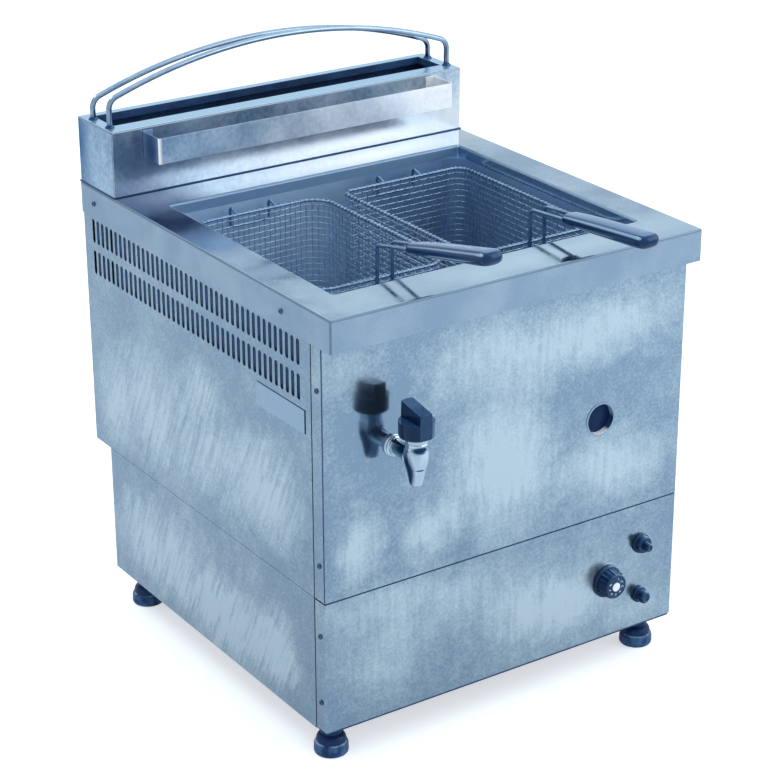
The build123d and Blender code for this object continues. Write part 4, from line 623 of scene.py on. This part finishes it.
# Turned steel: grey and finely ringed on the flange. Up the bore its colour is painted light and shade:
# a white painted highlight at the lower edge, navy painted shade above it, and grey-blue at the top.
turned_steel, tree, sockets, place = start_material("turned_stainless_sleeve", Metallic=0.1, Roughness=0.35)
rings = add(tree, "TexNoise", {"Vector": place, "Scale": 1 / ring_size, "Detail": 2.0})
plain = add(tree, "Mix", {0: rings, 6: "6F89A3", 7: "90A8BC"})
bore = add(tree, "Mapping", {"Vector": place, "Location": (port_x, 0, port_z),
                             "Scale": (1, flatten, 1)}, vector_type="TEXTURE")
span = add(tree, "VectorMath", {0: bore}, operation="LENGTH").node.outputs["Value"]
inside = add(tree, "Math", {0: span, 1: glass_radius * mm}, operation="LESS_THAN")
level = add(tree, "SeparateXYZ", {"Vector": place}).node.outputs["Z"]
height = add(tree, "MapRange", {"Value": level, "From Min": port_z - glass_radius * mm,
                                "From Max": port_z + glass_radius * mm})
bore_painted_light = add(tree, "ValToRGB", {"Fac": height})
shades = bore_painted_light.node.color_ramp.elements
shades[0].position, shades[0].color = 0.07, linear("FFFFFF")
shades[1].position, shades[1].color = 0.62, linear("93ABC1")
for position, code in ((0.13, "2A4A74"), (0.45, "1B3963")):
    shades.new(position).color = linear(code)
add(tree, "Mix", {0: inside, 6: plain, 7: bore_painted_light}, sockets["Base Color"])
dress(turned_steel, "sight_port")

window_rings = [(5.0, glass_radius), (6.6, glass_radius), (7.0, glass_radius - 1)]
turn((port_x, port_high.y, port_z), (0, -1, 0), window_rings)
window = settle("sight_port_window", smooth=50)
soot_cloud = 12 * mm
# Sooty mica: almost black, smooth, with a faint cloud.
sooty_mica = clouded("sooty_mica", soot_cloud, 3.0, "0A2142", "122C52", Roughness=0.35, IOR=1.25,
                     Specular_Tint=blue_gloss)
window.data.materials.append(sooty_mica)
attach(window, "cabinet")


# Guard rods: two drawn stainless bars bent to a low arch, each welded in a small collar on the flue
# box's side rims. The welds have tinted their feet.
draw_mark = 20 * mm
tint_top, tint_foot = 9 * mm, 3 * mm
# Bright-drawn bar: smooth, with a grey sheen, and blue at the feet.
bright_bar, tree, sockets, place = start_material("bright_drawn_bar", Metallic=1.0)
draw = add(tree, "TexNoise", {"Vector": place, "Scale": 1 / draw_mark, "Detail": 4.0})
drawn = add(tree, "Mix", {0: draw, 6: "6D87A1", 7: "A4B7C7"})
level = add(tree, "SeparateXYZ", {"Vector": place}).node.outputs["Z"]
heat = add(tree, "MapRange", {"Value": level, "From Min": flue_high.z + tint_top,
                              "From Max": flue_high.z + tint_foot})
add(tree, "Mix", {0: heat, 6: drawn, 7: "34527A"}, sockets["Base Color"])
add(tree, "MapRange", {"Value": draw, "To Min": 0.12, "To Max": 0.22}, sockets["Roughness"])
dress(bright_bar, "guard_rod_front", "guard_rod_rear")


# Panel screws: zinc-plated steel pan heads with a cross recess, four on the skirt's sides and eight on
# the returns of the front panels, each turned in by hand to its own angle.
def cut_box(piece, centre, size):
    """Cuts a box out of a piece, which is left active."""
    bpy.ops.object.select_all(action="DESELECT")
    bpy.ops.mesh.primitive_cube_add(size=1, location=centre, scale=size)
    waste = bpy.context.object
    bpy.context.view_layer.objects.active = piece
    modify("BOOLEAN", operation="DIFFERENCE", object=waste)
    bpy.data.objects.remove(waste)


def join(main, others):
    """Joins pieces to a main one, which is left active."""
    bpy.ops.object.select_all(action="DESELECT")
    for piece in [main] + others:
        piece.select_set(True)
    bpy.context.view_layer.objects.active = main
    bpy.ops.object.join()


skirt_x, return_x, return_y = 300.0, 298.0, -245.1
screw_places = [(skirt_x, -166.0, 631.5), (skirt_x, 343.0, 631.5)]
screw_places += [(return_x, return_y, z) for z in (549.0, 302.0, 198.0, 98.0)]
screw_step = 37
head_rings = [(-8.0, 2.0), (-0.02, 2.0), (-0.02, 4.0), (0.5, 4.0), (1.1, 3.85), (1.7, 3.4), (2.1, 2.7),
              (2.3, 1.8), (2.36, 0.9)]
recess_place, recess_depth, recess_long, recess_wide = 2.2, 2.4, 4.4, 0.9
turn((0, 0, 0), (1, 0, 0), head_rings, sides=24)
screw = settle("panel_screw_heads")
for across, upright in ((recess_long, recess_wide), (recess_wide, recess_long)):
    cut_box(screw, (recess_place * mm, 0, 0), (recess_depth * mm, across * mm, upright * mm))
shape = screw.data.copy()
screw.data.clear_geometry()
heads = []
for outward in (-1, 1):
    for x, y, z in screw_places:
        head = bpy.data.objects.new("head", shape.copy())
        bpy.context.scene.collection.objects.link(head)
        spin = Matrix.Rotation(radians(screw_step * len(heads)), 4, "X")
        face = Matrix.Identity(4) if outward > 0 else Matrix.Rotation(pi, 4, "Z")
        head.data.transform(Matrix.Translation(Vector((outward * x, y, z)) * mm) @ face @ spin)
        heads.append(head)
join(screw, heads)

screw_cloud_size = 3 * mm
# Zinc-plated steel: grey, clouded at random from near black to mid grey.
plated_screw = clouded("zinc_plated_screw", screw_cloud_size, 3.0, "14253C", "67829C", Metallic=1.0, Roughness=0.25)
screw.data.materials.append(plated_screw)
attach(screw, "cabinet")
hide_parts("panel_screws")


# Drain tap: a chrome-plated brass plug cock. Its stub comes through a stepped rose on the panel,
# and the spout tapers below a domed bonnet that holds the plug.
def on_panel(node):
    """The point of the front panels' face that lies before the middle of a CAD node."""
    low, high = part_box(node)
    return Vector(((low.x + high.x) / 2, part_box("lower_front_panel")[0].y, (low.z + high.z) / 2))


tap_root = on_panel("tap_flange")
handle_low, handle_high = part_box("tap_handle")
tap = Vector((tap_root.x, (handle_low.y + handle_high.y) / 2, tap_root.z))
rose_rings = [(0, 16), (1.6, 16), (2.4, 15.6), (2.8, 14.8), (3.4, 14.4), (4.2, 14.8), (5.2, 15), (6.2, 14.6),
              (6.8, 13.6), (7.2, 12.4), (8.2, 12), (9, 11.6), (9, 10.3), (0, 10.3)]
turn(tap_root, (0, -1, 0), rose_rings)
rose = settle("tap_rose", smooth=40)

spout_rings = [(-35, 6), (-35, 8.2), (-34.4, 9), (-33, 9.3), (-12, 13.4), (-11.4, 13.2), (-10.8, 13.2),
               (-10.2, 14.4), (-9, 14.8), (-1, 16.5), (12.6, 16.5), (14, 16.1), (14.8, 15.2), (15.6, 14.8),
               (20, 14.8), (20, 9.1), (-9, 9.1)]
stub_rings = [(0, 10.4), (30, 10.4), (31, 11.2), (36, 11.2), (37, 10.4), (40, 10.4), (40, 11.8), (48, 13)]
spout = turn(tap, (0, 0, 1), spout_rings)
stub = turn(tap_root, (0, -1, 0), stub_rings)
bpy.ops.object.select_all(action="DESELECT")
spout.select_set(True)
bpy.context.view_layer.objects.active = spout
modify("BOOLEAN", operation="UNION", object=stub)
bpy.data.objects.remove(stub)
spout = settle("tap_spout_body", smooth=28)

bonnet_rings = [(20, 14.6), (21, 15), (23.4, 15), (24.2, 14.4), (24.8, 14.4), (25.6, 15), (28, 15),
                (29.4, 14.4), (30.4, 13), (31, 11), (31, 4.6), (20, 4.6)]
turn(tap, (0, 0, 1), bonnet_rings)
bonnet = settle("tap_bonnet_nut", smooth=28)

fog_size = 10 * mm
tap_painted_darks = [((-15, 2, -16), (11, 16, 34), "1D3858", 2.6), ((-4, -16, 17.4), (15, 15, 5.5), "1D3858", 2.4),
              ((-3, -14, -11), (8, 8, 2.0), "3A526E", 2.0), ((0, 22, 6), (30, 26, 9), "213E62", 1.6)]
tap_painted_darks = [(tap / mm + Vector(centre), radii, code, strength)
              for centre, radii, code, strength in tap_painted_darks]
# Chrome plate: a clear mirror, fogged in places by cleaning. The dark side of the room that it would
# mirror is not in a white studio, so its dark reflections on the spout and bonnet are painted on, with
# a painted shadow on top of the stub and a short dark dash at the spout's step.
chrome_plate, tree, sockets, place = start_material("chrome_plated_brass", Metallic=1.0)
fog = add(tree, "TexNoise", {"Vector": place, "Scale": 1 / fog_size, "Detail": 4.0})
plate = add(tree, "Mix", {0: fog, 6: "93ABBF", 7: "C6D5E0"})
tree.links.new(stain(tree, place, plate, tap_painted_darks), sockets["Base Color"])
add(tree, "MapRange", {"Value": fog, "To Min": 0.03, "To Max": 0.12}, sockets["Roughness"])
for piece, node in ((rose, "tap_flange"), (spout, "tap_body"), (bonnet, "tap_bonnet")):
    piece.data.materials.append(chrome_plate)
    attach(piece, "cabinet")
    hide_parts(node)
dress(chrome_plate, "tap_plug")


# Tap handle: a black phenolic moulding, a round skirt with a thumb bar across it that falls to the
# front. It is pressed on the plug's stem and turns with it.
handle_radius, skirt_low, skirt_top, bar_top = 23.8, 33.0, 54.0, 76.0
bar_half, bar_front, bar_fall = 9.2, 21.7, radians(10)
waste_wide, waste_long, waste_high = 40, 80, 40
handle_edge = 1.4
handle_rings = [(skirt_low, 22.6), (skirt_low + 1, 23.4), (skirt_top, handle_radius), (bar_top, 23.0)]
handle = turn(tap, (0, 0, 1), handle_rings, sides=64)
for side in (-1, 1):
    cut_box(handle, (tap.x + side * (bar_half + waste_wide / 2) * mm, tap.y,
                     tap.z + (skirt_top + waste_high / 2) * mm),
            (waste_wide * mm, waste_long * mm, waste_high * mm))
bpy.ops.object.mode_set(mode="EDIT")
bar_cuts = [((tap.x, tap.y + handle_radius * mm, tap.z + bar_top * mm), (0, -sin(bar_fall), cos(bar_fall))),
            ((tap.x, tap.y - bar_front * mm, tap.z), (0, -1, 0))]
for point, way in bar_cuts:
    bpy.ops.mesh.select_all(action="SELECT")
    bpy.ops.mesh.bisect(plane_co=point, plane_no=way, use_fill=True, clear_outer=True)
bpy.ops.object.mode_set(mode="OBJECT")
# Blender stops this bevel at about 0.1 mm, at the short edges that the cuts leave.
modify("BEVEL", width=handle_edge * mm, segments=3, limit_method="ANGLE", angle_limit=radians(40))
handle = settle("tap_handle_moulded", smooth=30)


def looking(tree, way, least, most):
    """How far faces look a given way: 0 where the cosine is under the least, 1 where over the most."""
    facing = add(tree, "NewGeometry").node.outputs["Normal"]
    cosine = add(tree, "VectorMath", {0: facing, 1: way}, operation="DOT_PRODUCT")
    return add(tree, "MapRange", {"Value": cosine.node.outputs["Value"], "From Min": least,
                                  "From Max": most}, interpolation_type="SMOOTHSTEP")


rub_size, rub_depth = 6 * mm, 0.4 * mm
# Black phenolic: dense and blue-black, with painted light on the faces that look towards the light,
# painted shade on the others, and pale painted glints where it looks up and to the right.
black_phenolic, tree, sockets, place = start_material("black_phenolic", IOR=1.4,
                                                      Specular_Tint=(0.45, 0.75, 1, 1))
rub = add(tree, "TexNoise", {"Vector": place, "Scale": 1 / rub_size, "Detail": 5.0})
deep = add(tree, "Mix", {0: rub, 6: "041630", 7: "0C284E"})
painted_lit_tone = add(tree, "Mix", {0: rub, 6: "17345B", 7: "3F618A"})
# Painted light and glints: each face's colour follows the way it looks.
light_facing_share = looking(tree, (0.6, -0.42, 0.68), 0.1, 0.8)
phenolic_painted_glints = looking(tree, (0.38, -0.35, 0.856), 0.89, 0.97)
moulded = add(tree, "Mix", {0: light_facing_share, 6: deep, 7: painted_lit_tone})
add(tree, "Mix", {0: phenolic_painted_glints, 6: moulded, 7: "7F9DB9"}, sockets["Base Color"])
add(tree, "MapRange", {"Value": rub, "To Min": 0.06, "To Max": 0.18}, sockets["Roughness"])
add(tree, "Bump", {"Height": rub, "Strength": 0.06, "Distance": rub_depth}, sockets["Normal"])
handle.data.materials.append(black_phenolic)
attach(handle, "drain_handle")
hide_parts("tap_handle")


# Gas knob: a black phenolic knob with a round skirt, a fluted body that narrows to its face, plain
# white numbers round the face and a white centre. It is pushed on the valve's spindle and set against
# a small stud that is pressed into the panel beside it.
def pick(obj, test):
    """Selects a mesh's vertices by a test on their places, and stays in edit mode."""
    bpy.ops.object.mode_set(mode="EDIT")
    bpy.ops.mesh.select_mode(type="VERT")
    bpy.ops.mesh.select_all(action="DESELECT")
    bpy.ops.object.mode_set(mode="OBJECT")
    for vertex in obj.data.vertices:
        vertex.select = test(vertex.co)
    bpy.ops.object.mode_set(mode="EDIT")


knob_root = on_panel("gas_knob")
skirt_rings = [(0.5, 23), (1, 24), (3.8, 24), (4.6, 23.6), (5, 22.8), (5, 19)]
face_out = 22.8
body_rings = [(4, 21.2), (12, 20.2), (20, 19.0), (21.4, 18.6), (22.6, 17.8), (23.2, 16.8), (23.2, 16.2),
              (face_out, 15.8), (face_out, 7.4), (22.9, 7.0), (22.9, 6.6), (21.8, 6.6)]
flutes, flute_end, flute_half, flute_narrow = 18, 21.0, 0.30, 0.94
knob_skirt = turn(knob_root, (0, -1, 0), skirt_rings, sides=72)
knob_body = turn(knob_root, (0, -1, 0), body_rings, sides=flutes * 8)


def in_flute(co):
    """True in the hollow of a flute, on the knob's tapered side."""
    spread = knob_body.matrix_world @ co - knob_root
    step = (atan2(spread.z, spread.x) / (2 * pi) * flutes) % 1.0
    return -spread.y / mm < flute_end and (step < flute_half or step > 1 - flute_half)


pick(knob_body, in_flute)
bpy.ops.transform.resize(value=(flute_narrow, 1, flute_narrow), center_override=knob_root)
bpy.ops.object.mode_set(mode="OBJECT")
join(knob_body, [knob_skirt])
knob = settle("gas_knob_fluted", smooth=32)
knob.data.materials.append(black_phenolic)
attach(knob, "gas_control")
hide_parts("gas_knob")

number_radius, number_height, number_proud, number_step = 11.8, 5.2, 0.06, 40
numbers = []
for count in range(1, 9):
    turn_to = radians(90 - (count - 0.5) * number_step)
    bpy.ops.object.select_all(action="DESELECT")
    bpy.ops.object.text_add(location=(0, 0, 0))
    text = bpy.context.object
    text.data.body = str(count)
    text.data.align_x = text.data.align_y = "CENTER"
    text.data.size = number_height * mm
    text.data.extrude = number_proud * mm
    bpy.ops.object.convert(target="MESH")
    number = bpy.context.object
    number.rotation_euler = (pi / 2, turn_to - pi / 2, 0)
    number.location = knob_root + Vector((number_radius * cos(turn_to), -face_out,
                                          number_radius * sin(turn_to))) * mm
    bpy.ops.object.transform_apply(location=True, rotation=True, scale=True)
    numbers.append(number)
join(numbers[0], numbers[1:])
dial = settle("gas_knob_numbers")

grime_size = 5 * mm
# White moulded plastic: smooth, a little grey with handling.
white_plastic = clouded("white_moulded_plastic", grime_size, 3.0, "D3E4F0", "F6FAFC", Roughness=0.35,
                        IOR=1.49)
dial.data.materials.append(white_plastic)
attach(dial, "gas_control")
dress(white_plastic, "knob_insert")

stud_right, stud_up = 27.5, 2.3
stud_rings = [(-0.8, 1.6), (-0.02, 1.6), (-0.02, 2.2), (0.4, 2.2), (0.8, 1.8), (1.05, 1.1), (1.1, 0.5)]
turn(knob_root + Vector((stud_right, 0, stud_up)) * mm, (0, -1, 0), stud_rings, sides=24)
stud = settle("knob_index_stud", smooth=50)
stud.data.materials.append(black_phenolic)
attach(stud, "cabinet")


# Igniter and pilot button: black phenolic barrels through the panel, each with a stepped front nut
# that clamps it and a plunger that is pressed in against a spring.
igniter_root, pilot_root = on_panel("piezo_button"), on_panel("pilot_button")
igniter_rings = [(-42, 9), (-0.02, 9), (-0.02, 14.4), (0.6, 15), (2.4, 15), (3.2, 14.4), (3.4, 13.6),
                 (3.6, 13), (9.4, 12.6), (10.4, 12.0), (11, 11), (11, 6.4), (-25, 6.4)]
plunger_rings = [(-14, 6.2), (19.2, 6.2), (20.8, 5.8), (21.6, 4.9), (22, 3.6), (21.4, 2.8), (21.2, 1.2)]
collar_rings = [(-26, 10.8), (-0.02, 10.8), (-0.02, 11.8), (0.6, 12.3), (3.4, 12.3), (4.4, 11.8), (5, 10.8),
                (5, 9.35), (-19, 9.35)]
push_rings = [(-10, 9.2), (6.4, 9.2), (7, 8.6), (8, 8.6), (8.6, 9.2), (14.6, 9.2), (16.4, 8.6), (17.3, 7.2),
              (17.5, 5.6), (16.6, 4.8), (16.4, 2.0)]
for name, body, node, root, rings, sides, smooth in (
        ("igniter_barrel", "cabinet", "piezo_igniter", igniter_root, igniter_rings, 48, 30),
        ("igniter_plunger", "igniter_button", "piezo_button", igniter_root, plunger_rings, 32, 40),
        ("pilot_collar", "cabinet", "pilot_button_collar", pilot_root, collar_rings, 48, 30),
        ("pilot_push_button", "pilot_push", "pilot_button", pilot_root, push_rings, 48, 40)):
    turn(root, (0, -1, 0), rings, sides)
    piece = settle(name, smooth)
    piece.data.materials.append(black_phenolic)
    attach(piece, body)
    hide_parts(node)


# Basket meshes: square-mesh wire cloth, each wire woven over and under, formed to a rounded tub. The
# upright wires are turned over the heavy rim wire of the frame and run on across the floor.
wire_radius, mesh_pitch, floor_bend = 0.65, 8.5, 8.0
rim_radius, rim_z = 2.25, 632.5
cloth_inset, floor_lift, rim_drop = 0.5, 0.1, 6.5
level_count = 16
wrap_angles = (-50, -10, 40, 90, 140, 190, 232)


def rounded_stations(half_x, half_y, corner):
    """Places round a rounded rectangle: (x, y, outward x, outward y, way), an even number of them."""
    run_x, run_y = half_x - corner, half_y - corner
    count_x = round(2 * run_x / mesh_pitch)
    count_y = round(2 * run_y / mesh_pitch)
    count_c = max(2, round(corner * pi / 2 / mesh_pitch))
    places = []
    for index in range(count_y):
        places.append((half_x, -run_y + 2 * run_y * index / count_y, 1, 0, "x"))
    for index in range(count_c):
        angle = pi / 2 * index / count_c
        places.append((run_x + corner * cos(angle), run_y + corner * sin(angle), cos(angle), sin(angle),
                       "x" if angle < pi / 4 else "y"))
    for index in range(count_x):
        places.append((run_x - 2 * run_x * index / count_x, half_y, 0, 1, "y"))
    for index in range(count_c):
        angle = pi / 2 + pi / 2 * index / count_c
        places.append((-run_x + corner * cos(angle), run_y + corner * sin(angle), cos(angle), sin(angle),
                       "y" if angle < 3 * pi / 4 else "x"))
    return places + [(-x, -y, -nx, -ny, way) for x, y, nx, ny, way in places]


def weave_basket(name, node, corner):
    """One basket's wires as poly splines with a round bevel, made a mesh."""
    low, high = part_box(node)
    centre_x, centre_y = (low.x + high.x) / 2 / mm, (low.y + high.y) / 2 / mm
    half_x, half_y = (high.x - low.x) / 2 / mm - cloth_inset, (high.y - low.y) / 2 / mm - cloth_inset
    floor_z = low.z / mm + wire_radius + floor_lift
    stations = rounded_stations(half_x, half_y, corner - cloth_inset)
    top_z, bend_z = rim_z - rim_drop, floor_z + floor_bend
    heights = [top_z + (bend_z - top_z) * level / (level_count - 1) for level in range(level_count)]
    curve = bpy.data.curves.new(name, "CURVE")
    curve.dimensions = "3D"
    curve.bevel_depth = wire_radius * mm
    curve.bevel_resolution = 1
    curve.use_fill_caps = True

    def lay(points, closed=False):
        """Lays one wire through points that are measured from the basket's middle."""
        spline = curve.splines.new("POLY")
        spline.points.add(len(points) - 1)
        for point, (x, y, z) in zip(spline.points, points):
            point.co = ((centre_x + x) * mm, (centre_y + y) * mm, z * mm, 1)
        spline.use_cyclic_u = closed

    def upright(index):
        """Points of one upright wire, from its turn over the rim down to the floor bend."""
        x, y, nx, ny, way = stations[index]
        wrap = rim_radius + wire_radius
        points = []
        for angle in wrap_angles:
            out = wrap * cos(radians(angle))
            points.append((x + nx * out, y + ny * out, rim_z + wrap * sin(radians(angle))))
        for level, z in enumerate(heights):
            out = wire_radius * (1 if (index + level) % 2 else -1)
            points.append((x + nx * out, y + ny * out, z))
        return points

    for level, z in enumerate(heights):
        ring = []
        for index, (x, y, nx, ny, way) in enumerate(stations):
            out = wire_radius * (-1 if (index + level) % 2 else 1)
            ring.append((x + nx * out, y + ny * out, z))
        lay(ring, closed=True)
    floor_x = sorted(s[0] for s in stations if s[4] == "y" and s[1] > 0)
    floor_y = sorted(s[1] for s in stations if s[4] == "x" and s[0] > 0)
    for index, (x, y, nx, ny, way) in enumerate(stations):
        reach = x if way == "x" else y
        if reach <= 0:
            continue
        mates = [k for k, s in enumerate(stations) if s[4] == way and
                 (abs(s[1] - y) < 1e-3 and s[0] < 0 if way == "x" else abs(s[0] - x) < 1e-3 and s[1] < 0)]
        back = upright(mates[0])[::-1] if mates else []
        across = floor_x if way == "x" else floor_y
        steps = sorted((v for v in across if abs(v) < reach - floor_bend), reverse=True)
        slant = floor_bend * (1 - cos(pi / 4))
        line = [(reach - slant, floor_z + slant)]
        for count, v in enumerate(steps):
            lift = wire_radius * (1 if (count + index) % 2 else -1) * (1 if way == "x" else -1)
            line.append((v, floor_z + wire_radius + lift))
        line.append((-reach + slant, floor_z + slant))
        middle = [(v, y, z) if way == "x" else (x, v, z) for v, z in line]
        lay(upright(index) + middle + back)
    obj = bpy.data.objects.new(name, curve)
    bpy.context.scene.collection.objects.link(obj)
    bpy.ops.object.select_all(action="DESELECT")
    obj.select_set(True)
    bpy.context.view_layer.objects.active = obj
    bpy.ops.object.convert(target="MESH")
    bpy.ops.object.shade_smooth()
    bpy.context.object.name = name
    return bpy.context.object


wear_size = 15 * mm
# Nickel-plated wire: bright on the rubbed side, grey with baked fat elsewhere. The heavy rod of rim,
# hooks and handles has the same plating, worn darker.
basket_wire = clouded("nickel_plated_wire", wear_size, 4.0, "7C98B3", "CDDEEA", rough=(0.2, 0.4),
                      Metallic=1.0)
basket_rod = clouded("nickel_plated_rod", wear_size, 4.0, "4B6A8E", "8CA7C0", rough=(0.22, 0.36),
                     Metallic=1.0)
for side, corner in (("left", 34.0), ("right", 20.0)):
    woven = weave_basket(f"basket_{side}_woven", f"basket_{side}_mesh", corner)
    woven.data.materials.append(basket_wire)
    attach(woven, f"{side}_basket")
    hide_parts(f"basket_{side}_mesh")
    dress(basket_rod, f"basket_{side}_frame")


# Basket grips: glossy plastic moulded over the two handle wires, flat where the wires go in and fuller
# towards the rounded nose.
grip_start = 70.0
grip_rings = [(0, 26, 11.5), (1.2, 29, 14), (3, 30, 15), (20, 31, 16.8), (50, 32.4, 19), (90, 33, 20),
              (125, 33.4, 20.4), (150, 34, 21), (160, 34, 21), (165, 33.2, 20.4), (169, 31, 18.6),
              (172, 27, 15.6), (174, 21.5, 11.6), (175, 14, 7), (175.2, 8, 4)]
grip_length = grip_rings[-1][0]
unit_radius = 0.5
squaring = ((0.30, 1.066), (0.48, 1.085))
grip_root_y, grip_root_z = -142.5 * mm, 680.0 * mm

handled_size = 20 * mm
# Glossy moulded plastic: blue-black, painted paler on top as a painted reflection, with a long painted
# highlight streak on its left shoulder.
grip_plastic, tree, sockets, place = start_material("glossy_grip_plastic", IOR=1.5,
                                                    Specular_Tint=(0.5, 0.8, 1, 1))
handled = add(tree, "TexNoise", {"Vector": place, "Scale": 1 / handled_size, "Detail": 4.0})
body = add(tree, "Mix", {0: handled, 6: "061B3A", 7: "123361"})
# Painted reflection on top and a painted highlight streak on the left shoulder, by the way faces look.
painted_lit_tone = looking(tree, (0, 0, 1), 0.88, 0.985)
grip_painted_streak = looking(tree, (-0.8, -0.1, 0.6), 0.94, 0.99)
body = add(tree, "Mix", {0: painted_lit_tone, 6: body, 7: "52749A"})
add(tree, "Mix", {0: grip_painted_streak, 6: body, 7: "86A5C1"}, sockets["Base Color"])
add(tree, "MapRange", {"Value": handled, "To Min": 0.05, "To Max": 0.13}, sockets["Roughness"])

for side, tilt in (("left", 12.2), ("right", 5.1)):
    grip_low, grip_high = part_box(f"basket_{side}_grip")
    reach = (grip_root_y - grip_low.y) / mm / cos(radians(tilt))
    stretch = (reach - grip_start) / grip_length
    bpy.ops.object.select_all(action="DESELECT")
    bpy.ops.mesh.primitive_circle_add(vertices=16, radius=unit_radius * mm, fill_type="NGON",
                                      location=(0, 0, 0))
    grip = bpy.context.object
    for square_from, fuller in squaring:
        pick(grip, lambda co: min(abs(co.x), abs(co.y)) > square_from * unit_radius * mm)
        bpy.ops.transform.resize(value=(fuller, fuller, 1), center_override=(0, 0, 0))
    bpy.ops.mesh.select_all(action="SELECT")
    bpy.ops.transform.resize(value=(grip_rings[0][1], grip_rings[0][2], 1), center_override=(0, 0, 0))
    bpy.ops.transform.translate(value=(0, 0, grip_start * mm))
    for (before, was_wide, was_high), (after, wide, high) in zip(grip_rings, grip_rings[1:]):
        bpy.ops.mesh.extrude_region_move(
            TRANSFORM_OT_translate={"value": (0, 0, (after - before) * stretch * mm)})
        bpy.ops.transform.resize(value=(wide / was_wide, high / was_high, 1),
                                 center_override=(0, 0, (grip_start + after * stretch) * mm))
    bpy.ops.object.mode_set(mode="OBJECT")
    modify("SUBSURF", levels=2, render_levels=2)
    grip.rotation_euler = (radians(90 - tilt), 0, 0)
    grip.location = ((grip_low.x + grip_high.x) / 2, grip_root_y, grip_root_z)
    grip = settle(f"basket_{side}_moulded_grip", smooth=60)
    grip.data.materials.append(grip_plastic)
    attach(grip, f"{side}_basket")
    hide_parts(f"basket_{side}_grip")


# Studio: a white paper floor, a soft box to the front right, a broad one overhead and a small one behind
# to the left, in a pale room. Floor and room are white to the camera, and the floor keeps the shadow.
bpy.context.scene.view_settings.view_transform = "Standard"
floor_half = 12.0
seen_glow, mirrored_glow = 0.55, 0.2
bpy.ops.object.select_all(action="DESELECT")
bpy.ops.mesh.primitive_plane_add(size=2 * floor_half, location=(0, 0, 0))
floor = bpy.context.object
floor.name = "studio_floor"
# White paper: matt, lifted to white for the camera and a little in mirrors.
white_floor = bpy.data.materials.new("white_paper_floor")
white_floor.use_nodes = True
tree = white_floor.node_tree
tree.nodes.clear()
rays = add(tree, "LightPath").node.outputs
mirrored = add(tree, "Math", {0: rays["Is Glossy Ray"], 1: rays["Is Transmission Ray"]},
               operation="MAXIMUM")
mirrored = add(tree, "Math", {0: mirrored, 1: mirrored_glow}, operation="MULTIPLY")
glow_level = add(tree, "Math", {0: rays["Is Camera Ray"], 1: seen_glow, 2: mirrored},
                 operation="MULTIPLY_ADD")
paper = add(tree, "BsdfDiffuse", {"Color": "DCE2E7"})
glow = add(tree, "Emission", {"Color": (1, 1, 1, 1), "Strength": glow_level})
both = add(tree, "AddShader", {0: paper, 1: glow})
add(tree, "OutputMaterial", {"Surface": both})
floor.data.materials.append(white_floor)
floor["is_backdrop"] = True

# The room is brightest at the horizon, as the walls of a white room are, and dimmer overhead.
room = bpy.data.worlds.new("pale_studio")
room.use_nodes = True
bpy.context.scene.world = room
tree = room.node_tree
tree.nodes.clear()
way = add(tree, "TexCoord")
height = add(tree, "SeparateXYZ", {"Vector": way}).node.outputs["Z"]
shade = add(tree, "ValToRGB", {"Fac": height})
shades = shade.node.color_ramp.elements
shades[0].color = (0.89, 0.94, 0.985, 1)
shades[1].color = (0.40, 0.47, 0.56, 1)
shades.new(0.4).color = (0.80, 0.88, 0.95, 1)
rays = add(tree, "LightPath").node.outputs
seen = add(tree, "Mix", {0: rays["Is Camera Ray"], 6: shade, 7: (1, 1, 1, 1)})
air = add(tree, "Background", {"Color": seen, "Strength": 1.0})
add(tree, "OutputWorld", {"Surface": air})

aim = Vector((0, 0, 0.45))
for name, spot_place, width, height, power in (("soft_box_right", (1.9, -1.7, 1.75), 2.6, 2.2, 32),
                                               ("soft_box_top", (0.3, 0.3, 2.8), 4.2, 4.2, 44),
                                               ("soft_box_back", (-1.6, 2.0, 3.2), 1.3, 0.8, 20)):
    lamp = bpy.data.lights.new(name, "AREA")
    lamp.shape = "RECTANGLE"
    lamp.size, lamp.size_y = width, height
    lamp.energy = power
    box = bpy.data.objects.new(name, lamp)
    bpy.context.scene.collection.objects.link(box)
    box.location = spot_place
    box.rotation_euler = (Vector(spot_place) - aim).to_track_quat("Z", "Y").to_euler()

# The camera stands to the front left, above the worktop, as it was solved from the photograph's edges.
image_height = 781
focal_pixels = 2333.5
eye_place = (-1.72384, -2.52039, 1.70875)
yaw, pitch, roll = 0.594114, 0.407721, -0.0025145
eye = bpy.data.cameras.new("photo_camera")
eye.sensor_width = 36.0
eye.lens = focal_pixels / image_height * eye.sensor_width
camera = bpy.data.objects.new("photo_camera", eye)
bpy.context.scene.collection.objects.link(camera)
camera.matrix_world = (Matrix.Translation(eye_place) @ Matrix.Rotation(-yaw, 4, "Z")
                       @ Matrix.Rotation(pi / 2 - pitch, 4, "X") @ Matrix.Rotation(roll, 4, "Z"))
bpy.context.scene.camera = camera

low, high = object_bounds()
